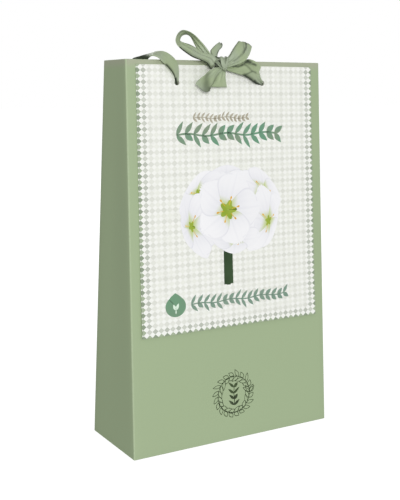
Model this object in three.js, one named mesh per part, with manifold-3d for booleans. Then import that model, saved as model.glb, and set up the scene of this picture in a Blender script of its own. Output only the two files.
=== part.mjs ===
// An open-topped gift bag of folded green card. A printed card lies on its front panel, and one
// satin ribbon, laced through two punched holes in the front and two in the back, ties it with a bow.
//
// Millimetres, +Z up. The origin is the centre of the underside of the base, the front panel faces
// -Y, and X runs along the width.

import * as THREE from 'three';
import { mergeVertices } from 'three/addons/utils/BufferGeometryUtils.js';
import Module from 'manifold-3d';

const wasm = await Module();
wasm.setup();

// ---- Driving dimensions -------------------------------------------------------------------------

// Outside of the bag at its base and at its mouth.
const BASE_WIDTH = 220;
const BASE_DEPTH = 90;
const MOUTH_WIDTH = 214;
const MOUTH_DEPTH = 46;
const MOUTH_SHIFT = -6; // the mouth's middle lies this far in Y from the base's middle
const HEIGHT = 364;

// The card that the bag is folded from.
const CARD = 0.8;
const HEM = 40; // the top is turned in by this much, which doubles the wall
const FLOOR = 2 * CARD; // the base is two flaps thick
const CORNER = 1.6; // outside radius of the upright folds
const GLUE_FLAP = 14; // the flap that closes the sheet, inside the back right fold

// Seams on the underside, where the glued flaps end.
const SEAM_WIDTH = 0.7;
const SEAM_DEPTH = 0.3;
const SEAM_INSET = 12; // the flap's edge lies this far in front of the middle line

const GAP = 0.3; // between pieces that lie against each other

// The loose board that stiffens the base.
const BOARD_THICKNESS = 1.5;
const BOARD_CLEARANCE = 1.3; // to each wall

// The printed card on the front panel.
const FACE_WIDTH = 196;
const FACE_TOP_WIDTH = 193; // it tapers like the panel that it lies on
const FACE_HEIGHT = 248;
const FACE_THICKNESS = 0.5;
const FACE_TOP = 4.5; // from the bag's top edge down to the card
const FACE_OFFSET = -0.8; // of its middle line from the bag's

// The punched holes, measured along a panel from its middle line and from its top edge.
const HOLE_DIAMETER = 5;
const HOLE_LEFT = -56;
const HOLE_RIGHT = 37.5;
const HOLE_DROP = -20.6;

// The ribbon.
const RIBBON_THICKNESS = 0.8;
const NARROW = 1.6; // half the ribbon's width where it is gathered through a hole

// ---- Places on the panels -----------------------------------------------------------------------

// Half the bag's outside width, and its front and back faces in Y, at a height.
const halfWidth = (z) => THREE.MathUtils.lerp(BASE_WIDTH, MOUTH_WIDTH, z / HEIGHT) / 2;
const frontY = (z) => THREE.MathUtils.lerp(-BASE_DEPTH / 2, MOUTH_SHIFT - MOUTH_DEPTH / 2, z / HEIGHT);
const backY = (z) => THREE.MathUtils.lerp(BASE_DEPTH / 2, MOUTH_SHIFT + MOUTH_DEPTH / 2, z / HEIGHT);

// A panel's own frame: along is from its middle line towards +X, up is from its top edge upwards
// along the panel, and out is away from its outside face.
function panelFrame(faceY, outward) {
  const top = new THREE.Vector3(0, faceY(HEIGHT), HEIGHT);
  const upward = top.clone().sub(new THREE.Vector3(0, faceY(0), 0)).normalize();
  const normal = new THREE.Vector3(0, outward * upward.z, -outward * upward.y);
  return (along, up, out) => new THREE.Vector3(along, 0, 0)
    .add(top)
    .addScaledVector(upward, up)
    .addScaledVector(normal, out);
}

const onFront = panelFrame(frontY, -1);
const onBack = panelFrame(backY, 1);

// ---- Solids from points -------------------------------------------------------------------------

// A closed mesh from rings of the same number of points, each ring anticlockwise about the way that
// the rings advance. The first and last rings are closed with flat caps.
function loft(rings) {
  const count = rings[0].length;
  const position = rings.flat().flatMap((p) => [p.x, p.y, p.z]);
  const index = [];
  for (let r = 0; r + 1 < rings.length; r += 1) {
    for (let i = 0; i < count; i += 1) {
      const j = (i + 1) % count;
      const [a, b, c, d] = [r * count + i, r * count + j, (r + 1) * count + j, (r + 1) * count + i];
      index.push(a, b, c, a, c, d);
    }
  }
  const last = (rings.length - 1) * count;
  for (let i = 1; i + 1 < count; i += 1) {
    index.push(0, i + 1, i);
    index.push(last, last + i, last + i + 1);
  }
  const geometry = new THREE.BufferGeometry();
  geometry.setAttribute('position', new THREE.Float32BufferAttribute(position, 3));
  geometry.setIndex(index);
  return geometry;
}

// A level rectangle with round corners, as a ring of points.
function rectangleRing(halfX, lowY, highY, z, radius, steps = 3) {
  const ring = [];
  const corners = [
    [halfX - radius, highY - radius, 0],
    [radius - halfX, highY - radius, 90],
    [radius - halfX, lowY + radius, 180],
    [halfX - radius, lowY + radius, 270],
  ];
  for (const [x, y, start] of corners) {
    for (let i = 0; i <= steps; i += 1) {
      const angle = THREE.MathUtils.degToRad(start + (90 * i) / steps);
      ring.push(new THREE.Vector3(x + radius * Math.cos(angle), y + radius * Math.sin(angle), z));
    }
  }
  return ring;
}

// The bag's own outline at a height, moved in from the outside face.
const bagRing = (z, inset, radius) => rectangleRing(
  halfWidth(z) - inset, frontY(z) + inset, backY(z) - inset, z, radius,
);

function toManifold(geometry) {
  const bare = geometry.clone();
  bare.deleteAttribute('normal');
  bare.deleteAttribute('uv');
  const merged = mergeVertices(bare, 1e-5);
  return new wasm.Manifold(new wasm.Mesh({
    numProp: 3,
    vertProperties: Float32Array.from(merged.attributes.position.array),
    triVerts: Uint32Array.from(merged.index.array),
  }));
}

function toGeometry(manifold) {
  const mesh = manifold.getMesh();
  const geometry = new THREE.BufferGeometry();
  geometry.setAttribute('position', new THREE.Float32BufferAttribute(mesh.vertProperties, 3));
  geometry.setIndex(Array.from(mesh.triVerts));
  geometry.computeVertexNormals();
  return geometry;
}

const cut = (geometry, tools) => toGeometry(
  tools.reduce((solid, tool) => solid.subtract(toManifold(tool)), toManifold(geometry)),
);

const join = (geometries) => toGeometry(
  geometries.map(toManifold).reduce((whole, solid) => whole.add(solid)),
);

// ---- Bag ----------------------------------------------------------------------------------------

// A punch through a panel at one of the ribbon holes.
function punch(place, along) {
  const depth = 12;
  const geometry = new THREE.CylinderGeometry(HOLE_DIAMETER / 2, HOLE_DIAMETER / 2, depth, 24);
  const axis = place(0, 0, 1).sub(place(0, 0, 0));
  geometry.applyQuaternion(new THREE.Quaternion().setFromUnitVectors(new THREE.Vector3(0, 1, 0), axis));
  const centre = place(along, HOLE_DROP, 0);
  geometry.translate(centre.x, centre.y, centre.z);
  return geometry;
}

// The walls, the turned-in hem and the floor, as one skin that goes up the outside, over the rounded
// top fold and down the inside.
function bagShell() {
  const hemInset = 2 * CARD;
  const hemBottom = HEIGHT - HEM;
  return loft([
    bagRing(0, 0, CORNER),
    bagRing(HEIGHT - CARD, 0, CORNER),
    bagRing(HEIGHT - 0.25 * CARD, 0.25 * CARD, CORNER),
    bagRing(HEIGHT, CARD, CARD),
    bagRing(HEIGHT - 0.25 * CARD, hemInset - 0.25 * CARD, CARD / 2),
    bagRing(HEIGHT - CARD, hemInset, CARD / 2),
    bagRing(hemBottom, hemInset, CARD / 2),
    bagRing(hemBottom - 0.1, CARD, CARD),
    bagRing(FLOOR, CARD, CARD),
  ]);
}

// The flap that closes the folded sheet, glued inside the back wall beside the right fold.
function glueFlap() {
  const sunk = CARD / 2;
  const section = (z) => {
    const side = halfWidth(z) - CARD + sunk;
    const back = backY(z) - CARD + sunk;
    return [
      new THREE.Vector3(side - GLUE_FLAP, back - CARD - sunk, z),
      new THREE.Vector3(side, back - CARD - sunk, z),
      new THREE.Vector3(side, back, z),
      new THREE.Vector3(side - GLUE_FLAP, back, z),
    ];
  };
  return loft([section(FLOOR - sunk), section(HEIGHT - HEM + 2)]);
}

// Shallow grooves along the ends of the flaps that are folded over each other under the base.
function baseSeams() {
  const groove = (x0, y0, x1, y1) => {
    const length = Math.hypot(x1 - x0, y1 - y0);
    const bar = new THREE.BoxGeometry(length, SEAM_WIDTH, 2 * SEAM_DEPTH);
    bar.rotateZ(Math.atan2(y1 - y0, x1 - x0));
    bar.translate((x0 + x1) / 2, (y0 + y1) / 2, 0);
    return bar;
  };
  const reachFront = BASE_DEPTH / 2 - SEAM_INSET;
  const reachBack = BASE_DEPTH / 2 + SEAM_INSET;
  const x = BASE_WIDTH / 2;
  const y = BASE_DEPTH / 2;
  const grooves = [groove(-x + reachFront, -SEAM_INSET, x - reachFront, -SEAM_INSET)];
  for (const side of [-1, 1]) {
    grooves.push(groove(side * x, -y, side * (x - reachFront), -SEAM_INSET));
    grooves.push(groove(side * x, y, side * (x - reachBack), -SEAM_INSET));
  }
  return grooves;
}

function bag() {
  const punches = [onFront, onBack].flatMap(
    (place) => [punch(place, HOLE_LEFT), punch(place, HOLE_RIGHT)],
  );
  return cut(join([bagShell(), glueFlap()]), [...punches, ...baseSeams()]);
}

function baseBoard() {
  const low = FLOOR + GAP;
  const high = low + BOARD_THICKNESS;
  const inset = CARD + BOARD_CLEARANCE;
  const outline = (z) => rectangleRing(
    halfWidth(high) - inset, frontY(high) + inset, backY(high) - inset - CARD, z, 2,
  );
  return loft([outline(low), outline(high)]);
}

function faceCard() {
  const corners = [
    [FACE_OFFSET - FACE_WIDTH / 2, -FACE_TOP - FACE_HEIGHT],
    [FACE_OFFSET + FACE_WIDTH / 2, -FACE_TOP - FACE_HEIGHT],
    [FACE_OFFSET + FACE_TOP_WIDTH / 2, -FACE_TOP],
    [FACE_OFFSET - FACE_TOP_WIDTH / 2, -FACE_TOP],
  ];
  const sheet = loft([GAP, GAP + FACE_THICKNESS].map(
    (out) => corners.map(([along, up]) => onFront(along, up, out)),
  ));
  return cut(sheet, [punch(onFront, HOLE_LEFT), punch(onFront, HOLE_RIGHT)]);
}

// ---- Ribbon -------------------------------------------------------------------------------------
//
// The ribbon is a strip between two edges. A station gives a point of each edge, both in a panel's
// own frame as [along, up, out]. The routes are chosen by hand.

const station = (place, first, second) => [place(...first), place(...second)];

// From the knot to the right, down into the front's right hole, across the mouth and out at the back.
const RIGHT_STRAND = [
  station(onFront, [-10, -4.8, 7], [-9, -8, 7]),
  station(onFront, [-4.8, -4, 7], [-4.1, -9.8, 7]),
  station(onFront, [2.4, -2.9, 7.5], [0.7, -11.2, 7.5]),
  station(onFront, [10.1, -0.7, 8], [7, -12.8, 7.5]),
  station(onFront, [17.1, 1.4, 7.8], [12.9, -14.1, 7]),
  station(onFront, [26.9, -0.6, 6.5], [19.9, -17.1, 6]),
  station(onFront, [33.2, -5.8, 5.5], [24.6, -19.7, 5]),
  station(onFront, [32.6, -9.5, 5], [27.2, -21, 4.4]),
  station(onFront, [33, -12.5, 4.6], [29.9, -21.8, 3.8]),
  station(onFront, [35.9, -17.2, 3.2], [34, -22.2, 2.6]),
  station(onFront, [38.3, HOLE_DROP + NARROW, 0.2], [37, HOLE_DROP - NARROW, 0]),
  station(onFront, [38, HOLE_DROP + NARROW, -3.5], [37, HOLE_DROP - NARROW, -3.5]),
  station(onFront, [38, -17, -10], [37, -28.5, -10]),
  station(onFront, [37.5, -18, -22], [37.5, -32.5, -22]),
  station(onFront, [37, -17, -34], [38, -28.5, -34]),
  station(onBack, [37, HOLE_DROP + NARROW, -4], [38, HOLE_DROP - NARROW, -4]),
  station(onBack, [37.5, HOLE_DROP + NARROW, -0.8], [37.5, HOLE_DROP - NARROW, -0.8]),
];

// Out of the back's right hole, along the back panel and into its left hole.
const BACK_RUN = [
  station(onBack, [36, HOLE_DROP + NARROW + 0.3, 1.4], [36, HOLE_DROP - NARROW - 0.3, 1.4]),
  station(onBack, [28, -14.2, 1.1], [28, -27.1, 1.1]),
  station(onBack, [10, -13.3, 0.9], [10, -27.9, 0.9]),
  station(onBack, [-28, -13.3, 0.9], [-28, -27.9, 0.9]),
  station(onBack, [-46.5, -14.2, 1.1], [-46.5, -27.1, 1.1]),
  station(onBack, [-54.5, HOLE_DROP + NARROW + 0.3, 1.4], [-54.5, HOLE_DROP - NARROW - 0.3, 1.4]),
];

// Across the mouth, up over the front edge near the left corner and down into the left hole.
const LEFT_STRAND = [
  station(onBack, [-56, HOLE_DROP + NARROW, -0.8], [-56, HOLE_DROP - NARROW, -0.8]),
  station(onBack, [-57, HOLE_DROP + NARROW, -4], [-55, HOLE_DROP - NARROW, -4]),
  station(onFront, [-69, -10, -38], [-58, -17.5, -36]),
  station(onFront, [-82, -5, -34], [-69, -9, -28.5]),
  station(onFront, [-89, -1.6, -27], [-78.5, -4, -17]),
  station(onFront, [-90, 1.8, -20], [-81.9, -1.5, -9]),
  station(onFront, [-85.9, 3.9, -13], [-82.7, 1.2, -3.8]),
  station(onFront, [-79.1, 5.5, -6], [-82.5, 4, 0.8]),
  station(onFront, [-74.4, 7.4, -1.5], [-80, 3.5, 3.6]),
  station(onFront, [-69.5, 7.3, 2], [-76.5, 1.2, 5.6]),
  station(onFront, [-63.1, 3.7, 4], [-71.9, -3.1, 6]),
  station(onFront, [-56.6, -3.1, 4], [-65.5, -9.7, 5.5]),
  station(onFront, [-54.7, -11.2, 3.6], [-60.9, -15.1, 4.2]),
  station(onFront, [-55, -16.6, 2.2], [-58.4, -18.4, 2.4]),
  station(onFront, [-55.3, HOLE_DROP + NARROW, 0.2], [-56.7, HOLE_DROP - NARROW, 0.1]),
];

// Along the inside of the front, up over its edge in the middle and down into the knot.
const MIDDLE_STRAND = [
  station(onFront, [-55.5, HOLE_DROP + NARROW, -3.2], [-55.5, HOLE_DROP - NARROW, -3.2]),
  station(onFront, [-49, -13, -3.6], [-44, -25, -3.6]),
  station(onFront, [-34, -6.5, -3.6], [-28, -19.5, -3.6]),
  station(onFront, [-24, -1, -4], [-16.5, -13, -4]),
  station(onFront, [-18.5, 2.5, -5.2], [-9.5, -4.5, -5]),
  station(onFront, [-13.5, 8, -6], [-7.3, 5.5, -6]),
  station(onFront, [-9.5, 14, -5.6], [-4.6, 12, -5.6]),
  station(onFront, [-7.9, 17.6, -3.2], [-3.6, 15.4, -3]),
  station(onFront, [-14, 15, 0.5], [-8, 11.8, 0.6]),
  station(onFront, [-20.5, 9.8, 2.5], [-13, 7, 2.8]),
  station(onFront, [-20, 3, 4.6], [-13.5, 2, 5]),
  station(onFront, [-14, -2.5, 6], [-9.5, -2.5, 6]),
];

const LEFT_LOOP = [
  station(onFront, [-13, -4.5, 7], [-11, -1, 4]),
  station(onFront, [-18, -4, 6.5], [-14.5, 2, 3]),
  station(onFront, [-27.5, 0, 7], [-21, 7, 0.5]),
  station(onFront, [-39.5, 11.5, 8.5], [-30.5, 19.5, -1.5]),
  station(onFront, [-46.5, 20.8, 9], [-38.5, 25.5, -2.5]),
  station(onFront, [-53.2, 22.2, 9], [-47.1, 27.3, -2.5]),
  station(onFront, [-59, 22.3, 9.5], [-50.9, 25.4, -2]),
  station(onFront, [-61.9, 18.3, 10], [-50.8, 21.2, -1.5]),
  station(onFront, [-60.6, 12.8, 10.5], [-50.2, 17, -0.5]),
  station(onFront, [-52.5, 5.5, 11], [-44, 14, 1.5]),
  station(onFront, [-41.5, 0.5, 11], [-35.5, 11.5, 3.5]),
  station(onFront, [-29, -4.5, 10], [-25.5, 6.5, 4.5]),
  station(onFront, [-19, -7.5, 8.5], [-16, 0.5, 6]),
  station(onFront, [-12.5, -6.5, 8], [-11.5, -2, 7]),
];

const RIGHT_LOOP = [
  station(onFront, [-11, -2, 8.5], [-9, -7, 8.5]),
  station(onFront, [-5, 3.5, 10], [3.5, -4, 10]),
  station(onFront, [-0.5, 10.5, 10.5], [13, 2, 10.5]),
  station(onFront, [4, 15.5, 9.3], [19.5, 9, 9.3]),
  station(onFront, [7.8, 18, 6.5], [22.2, 13.3, 6.5]),
  station(onFront, [8.8, 17.2, 3.2], [22.3, 12.8, 3.2]),
  station(onFront, [5.3, 12.1, 1.4], [17.3, 7, 1.4]),
  station(onFront, [-0.7, 4.7, 2.5], [6, -1.5, 2.5]),
  station(onFront, [-9, -2, 4.5], [-7.5, -5.5, 4.5]),
];

const LEFT_TAIL = [
  station(onFront, [-13.5, -3.5, 8.5], [-10.5, -6, 8.5]),
  station(onFront, [-20, -6.5, 9], [-12.5, -10, 9]),
  station(onFront, [-27.5, -10.5, 9.5], [-16.5, -15, 9.5]),
  station(onFront, [-36, -16.5, 10], [-22.5, -21.5, 10]),
  station(onFront, [-43, -22, 10], [-29.2, -29.5, 10]),
];

const MIDDLE_TAIL = [
  station(onFront, [-12, -3.5, 5.5], [-8.5, -4, 5.5]),
  station(onFront, [-13.5, -9, 6], [-7, -9.2, 6]),
  station(onFront, [-16.5, -16, 6.5], [-7.3, -16.3, 6.5]),
  station(onFront, [-21.8, -25, 6.5], [-6, -25, 6.5]),
];

// The knot, a wrapped lump of ribbon between the loops.
const KNOT_CENTRE = [-10.5, -3.2, 7];
const KNOT_RADII = [7.2, 6.4, 5.8];

// A closed strip through the stations, with its thickness to both sides of them.
function strip(stations, stepsEach = 3) {
  const [first, second] = [0, 1].map(
    (edge) => new THREE.CatmullRomCurve3(stations.map((s) => s[edge]), false, 'centripetal'),
  );
  const steps = (stations.length - 1) * stepsEach;
  const rings = [];
  for (let i = 0; i <= steps; i += 1) {
    const t = i / steps;
    const a = first.getPoint(t);
    const b = second.getPoint(t);
    const across = b.clone().sub(a);
    const along = first.getTangent(t).add(second.getTangent(t));
    const half = along.cross(across).setLength(RIBBON_THICKNESS / 2);
    rings.push([
      a.clone().add(half),
      a.clone().sub(half),
      b.clone().sub(half),
      b.clone().add(half),
    ]);
  }
  return loft(rings);
}

function ribbon() {
  const knot = new THREE.SphereGeometry(1, 20, 14);
  knot.scale(KNOT_RADII[0], KNOT_RADII[2], KNOT_RADII[1]);
  const centre = onFront(...KNOT_CENTRE);
  knot.translate(centre.x, centre.y, centre.z);
  const laced = [...RIGHT_STRAND, ...BACK_RUN, ...LEFT_STRAND, ...MIDDLE_STRAND];
  const strips = [laced, LEFT_LOOP, RIGHT_LOOP, LEFT_TAIL, MIDDLE_TAIL].map((s) => strip(s));
  return join([knot, ...strips]);
}

// ---- The object ---------------------------------------------------------------------------------

const finish = (color, roughness) => new THREE.MeshStandardMaterial({ color, roughness, metalness: 0 });
const GREEN_CARD = finish('#a3b491', 0.75);
const GREY_BOARD = finish('#a8a295', 0.9);
const PRINTED_CARD = finish('#ebeee6', 0.55);
const SATIN = finish('#9aa98c', 0.4);

const object = new THREE.Group();

function add(name, geometry, material) {
  const mesh = new THREE.Mesh(geometry, material);
  mesh.name = name;
  object.add(mesh);
}

add('bag', bag(), GREEN_CARD);
add('base_board', baseBoard(), GREY_BOARD);
add('face_card', faceCard(), PRINTED_CARD);
add('ribbon', ribbon(), SATIN);

export default object;
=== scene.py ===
"""A gift bag of folded green card, with a printed card on its front and a satin ribbon tied in a bow.

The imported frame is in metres, +Z up. Places on a panel, and the prints, are in millimetres: along from
the panel's middle line towards +X, up from its top edge (negative below it), out from its outside face.
"""

import logging
import math
from dataclasses import dataclass
from enum import Enum
from typing import Any, Callable, Iterable, Sequence

import bmesh
import bpy
import numpy as np
from mathutils import Matrix, Vector


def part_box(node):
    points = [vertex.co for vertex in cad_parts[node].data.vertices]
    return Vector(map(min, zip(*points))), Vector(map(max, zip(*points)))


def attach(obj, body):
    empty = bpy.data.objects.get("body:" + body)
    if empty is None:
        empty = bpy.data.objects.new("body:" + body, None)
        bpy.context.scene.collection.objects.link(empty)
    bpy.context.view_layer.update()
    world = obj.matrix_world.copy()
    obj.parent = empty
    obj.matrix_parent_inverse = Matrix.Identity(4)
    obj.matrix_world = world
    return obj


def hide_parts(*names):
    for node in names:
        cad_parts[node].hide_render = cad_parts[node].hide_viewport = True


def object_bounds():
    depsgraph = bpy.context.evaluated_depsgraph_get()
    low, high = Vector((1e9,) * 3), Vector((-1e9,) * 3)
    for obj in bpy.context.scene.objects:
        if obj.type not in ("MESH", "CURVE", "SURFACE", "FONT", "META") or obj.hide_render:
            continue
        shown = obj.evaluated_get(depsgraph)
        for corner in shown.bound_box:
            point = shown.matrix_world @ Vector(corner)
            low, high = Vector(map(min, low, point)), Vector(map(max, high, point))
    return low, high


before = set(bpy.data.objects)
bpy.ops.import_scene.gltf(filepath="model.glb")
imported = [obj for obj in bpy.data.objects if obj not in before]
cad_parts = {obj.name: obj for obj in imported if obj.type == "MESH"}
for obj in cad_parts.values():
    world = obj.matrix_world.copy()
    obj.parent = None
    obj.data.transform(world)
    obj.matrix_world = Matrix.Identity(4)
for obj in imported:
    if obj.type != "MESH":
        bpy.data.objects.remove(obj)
CAD_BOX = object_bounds()

Line = tuple[tuple[float, float], ...]
Film = tuple[np.ndarray, Any, dict[str, Any]]

LOG = logging.getLogger("gift_bag")
MM = 0.001
TINY = 1e-6
FILM_MERGE = TINY / 4


# ---- Node trees ----


def operator_pair(operation: str) -> tuple[Callable[..., "Term"], Callable[..., "Term"]]:
    """Makes the method of an operator, and the method of its reflected form.

    Args:
        operation: The operation of the node that it adds.

    Returns:
        The method for self on the operator's left, and the one for self on its right.
    """

    def left(self: "Term", other: Any) -> "Term":
        """Works on self and other."""
        return self.graph.combine(operation, self, other)

    def right(self: "Term", other: Any) -> "Term":
        """Works on other and self."""
        return self.graph.combine(operation, other, self)

    return left, right


class Term:
    """An output of a node. Python's operators on it add Math or Vector Math nodes."""

    __add__, __radd__ = operator_pair("ADD")
    __sub__, __rsub__ = operator_pair("SUBTRACT")
    __mul__, __rmul__ = operator_pair("MULTIPLY")
    __truediv__, __rtruediv__ = operator_pair("DIVIDE")
    __pow__, __rpow__ = operator_pair("POWER")
    __mod__, __rmod__ = operator_pair("FLOORED_MODULO")
    __lt__, __gt__ = operator_pair("LESS_THAN")

    def __init__(self, graph: "Graph", socket: bpy.types.NodeSocket) -> None:
        """Wraps a socket of the graph's tree."""
        self.graph = graph
        self.socket = socket

    @property
    def is_vector(self) -> bool:
        """Whether the socket carries a vector or a colour."""
        return self.socket.type in ("VECTOR", "RGBA")

    def __neg__(self) -> "Term":
        """Gives -self."""
        return 0.0 - self

    def __abs__(self) -> "Term":
        """Gives self without its sign."""
        return self.graph.maths("ABSOLUTE", self)


class Graph:
    """Adds nodes to one node tree."""

    def __init__(self, tree: bpy.types.NodeTree) -> None:
        """Wraps a tree."""
        self.tree = tree

    def add(self, kind: str, inputs: dict | None = None, **settings: Any) -> bpy.types.Node:
        """Adds a node.

        Args:
            kind: The node's type.
            inputs: Its sockets by name or number, each with a value or a Term.
            settings: Its properties, which are set first.

        Returns:
            The node.
        """
        node = self.tree.nodes.new(kind)
        for name, value in settings.items():
            setattr(node, name, value)
        for name, value in (inputs or {}).items():
            self.feed(self.pick(node.inputs, name), value)
        return node

    @staticmethod
    def pick(sockets: Any, name: Any) -> bpy.types.NodeSocket:
        """Finds a socket by its number, or the first that is in use by its name."""
        named = [socket for socket in sockets if socket.enabled and socket.name == name]
        return sockets[name] if isinstance(name, int) else named[0]

    def feed(self, socket: bpy.types.NodeSocket, value: Any) -> None:
        """Links a Term to a socket, or sets the socket's value.

        Args:
            socket: The socket.
            value: A Term or a plain value.
        """
        if isinstance(value, Term):
            self.tree.links.new(value.socket, socket)
        else:
            socket.default_value = value

    def get(self, kind: str, output: Any = 0, inputs: dict | None = None, **settings: Any) -> Term:
        """Adds a node as add() does, and gives one of its outputs by name or number."""
        return Term(self, self.pick(self.add(kind, inputs, **settings).outputs, output))

    def axis(self, vector: Term, name: str) -> Term:
        """Gives a vector's X, Y or Z."""
        return self.get("ShaderNodeSeparateXYZ", name, {0: vector})

    def vector(self, x: Any = 0.0, y: Any = 0.0, z: Any = 0.0) -> Term:
        """Joins three numbers into a vector."""
        return self.get("ShaderNodeCombineXYZ", 0, {0: x, 1: y, 2: z})

    def maths(self, operation: str, *values: Any) -> Term:
        """Adds a Math node and gives its result."""
        return self.get("ShaderNodeMath", 0, dict(enumerate(values)), operation=operation)

    def combine(self, operation: str, left: Any, right: Any) -> Term:
        """Adds the Math or Vector Math node that an operator stands for.

        Args:
            operation: The operation of either node.
            left: The first value.
            right: The second value.

        Returns:
            The result.
        """
        vectors = [isinstance(x, tuple) or (isinstance(x, Term) and x.is_vector) for x in (left, right)]
        if not any(vectors):
            return self.maths(operation, left, right)
        if operation == "MULTIPLY" and not all(vectors):
            vector, number = (left, right) if vectors[0] else (right, left)
            inputs = {"Vector": vector, "Scale": number}
            return self.get("ShaderNodeVectorMath", "Vector", inputs, operation="SCALE")
        return self.get("ShaderNodeVectorMath", "Vector", {0: left, 1: right}, operation=operation)

    def smooth(self, value: Any, low: float, high: float) -> Term:
        """Gives a soft step of value, from 0 at low to 1 at high."""
        inputs = {"Value": value, "From Min": low, "From Max": high}
        return self.get("ShaderNodeMapRange", "Result", inputs, interpolation_type="SMOOTHSTEP")

    def mix(self, share: Any, first: Any, second: Any) -> Term:
        """Mixes two colours, share 0 giving the first."""
        inputs = {"Factor": share, "A": first, "B": second}
        return self.get("ShaderNodeMix", "Result", inputs, data_type="RGBA")

    def noise(self, place: Term, scale: float, detail: float = 2.0) -> Term:
        """Gives soft noise from 0 to 1 at a place, with scale cells to the place's unit."""
        return self.get("ShaderNodeTexNoise", 0, {"Vector": place, "Scale": scale, "Detail": detail})

    def place(self) -> Term:
        """Gives the Object coordinates, in metres."""
        return self.get("ShaderNodeTexCoord", "Object")

    def attribute(self, name: str) -> Term:
        """Gives a number stored on the mesh, in a material."""
        return self.get("ShaderNodeAttribute", "Fac", attribute_name=name)


def linear(code: str) -> tuple[float, float, float, float]:
    """Turns a colour such as #a3b491 into the linear values that shaders take."""
    parts = [int(code[i : i + 2], 16) / 255 for i in (1, 3, 5)]
    return tuple(c / 12.92 if c <= 0.04045 else ((c + 0.055) / 1.055) ** 2.4 for c in parts) + (1.0,)


class MaterialGraph(Graph):
    """Adds nodes to a material and feeds its shader."""

    def __init__(self, material: bpy.types.Material) -> None:
        """Wraps the material's tree."""
        super().__init__(material.node_tree)
        self.shader = material.node_tree.nodes["Principled BSDF"]

    def paint(self, name: str, value: Any) -> None:
        """Gives the shader's input of that name a Term or a plain value."""
        self.feed(self.shader.inputs[name], value)

    def bump(self, height: Term, distance: float) -> None:
        """Raises the surface by height times distance, in metres."""
        inputs = {"Strength": 1.0, "Distance": distance, "Height": height}
        self.paint("Normal", self.get("ShaderNodeBump", "Normal", inputs))

    def mixed(self, share: Any, first: str, second: str) -> Term:
        """Mixes two colours that are given by their codes, share 0 giving the first."""
        return self.mix(share, linear(first), linear(second))


# ---- Finishes ----


@dataclass(frozen=True)
class Finish:
    """What every surface finish has: a name and a roughness."""

    name: str
    roughness: float

    def material(self) -> bpy.types.Material:
        """Makes the material.

        Returns:
            A material that the finish has dressed.
        """
        made = bpy.data.materials.new(self.name)
        made.use_nodes = True
        graph = MaterialGraph(made)
        graph.paint("Roughness", self.roughness)
        self.dress(graph)
        return made

    def dress(self, graph: MaterialGraph) -> None:
        """Feeds the material's shader. Each finish has its own way."""
        raise NotImplementedError


@dataclass(frozen=True)
class ColouredCard(Finish):
    """Matt card printed in one colour, greyer near its mouth, its folds paler: wear and a painted highlight.
    """

    colour: str
    fold_wear_highlight_colour: str
    mouth_colour: str
    mouth_heights: tuple[float, float] = (0.3545, 0.3625)
    fibres: float = 1400.0
    fibre_height: float = 0.000015
    fibre_tone: float = 0.05
    fibre_roughness: float = 0.12
    clouds: float = 9.0
    cloud_tone: float = 0.03
    fold_patches: float = 260.0
    fold_patch_edges: tuple[float, float] = (0.1, 0.6)

    def dress(self, graph: MaterialGraph) -> None:
        """Adds fibres, a faint cloudiness, the greyer mouth, and folds paler by wear and a painted highlight.

        Args:
            graph: The material's graph.
        """
        place = graph.place()
        fibre = graph.noise(place, self.fibres, 3.0) - 0.5
        cloud = graph.noise(place, self.clouds) - 0.5
        # A band near the mouth is greyer and paler.
        near_mouth = graph.smooth(graph.axis(place, "Z"), *self.mouth_heights)
        hue = graph.mixed(near_mouth, self.colour, self.mouth_colour)
        ink = (1.0 + fibre * self.fibre_tone + cloud * self.cloud_tone) * hue
        # Folds and the top fold's crest are painted paler: partly wear, partly a painted highlight of the
        # rounded folds.
        fold_wear_and_highlight = graph.attribute("fold") * graph.smooth(graph.noise(place, self.fold_patches), *self.fold_patch_edges)
        graph.paint("Base Color", graph.mix(fold_wear_and_highlight, ink, linear(self.fold_wear_highlight_colour)))
        graph.paint("Roughness", self.roughness + fibre * self.fibre_roughness)
        graph.bump(fibre, self.fibre_height)


@dataclass(frozen=True)
class RawBoard(Finish):
    """Unprinted board, with the flecks of its pulp."""

    colour: str
    fleck_colour: str
    pulp: float = 500.0
    pulp_height: float = 0.00005
    pulp_roughness: float = 0.1
    pulp_edges: tuple[float, float] = (0.3, 0.75)
    pulp_tone: float = 0.3
    flecks: float = 1500.0
    fleck_form: tuple[float, float, float] = (1.0, 0.4, 1.0)
    fleck_edges: tuple[float, float] = (0.62, 0.74)
    fleck_tone: float = 0.5

    def dress(self, graph: MaterialGraph) -> None:
        """Adds pulp and flecks.

        Args:
            graph: The material's graph.
        """
        place = graph.place()
        pulp = graph.noise(place, self.pulp, 4.0)
        fleck = graph.smooth(graph.noise(place * self.fleck_form, self.flecks), *self.fleck_edges)
        share = fleck * self.fleck_tone + graph.smooth(pulp, *self.pulp_edges) * self.pulp_tone
        graph.paint("Base Color", graph.mixed(share, self.colour, self.fleck_colour))
        graph.paint("Roughness", self.roughness + (pulp - 0.5) * self.pulp_roughness)
        graph.bump(pulp, self.pulp_height)


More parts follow.
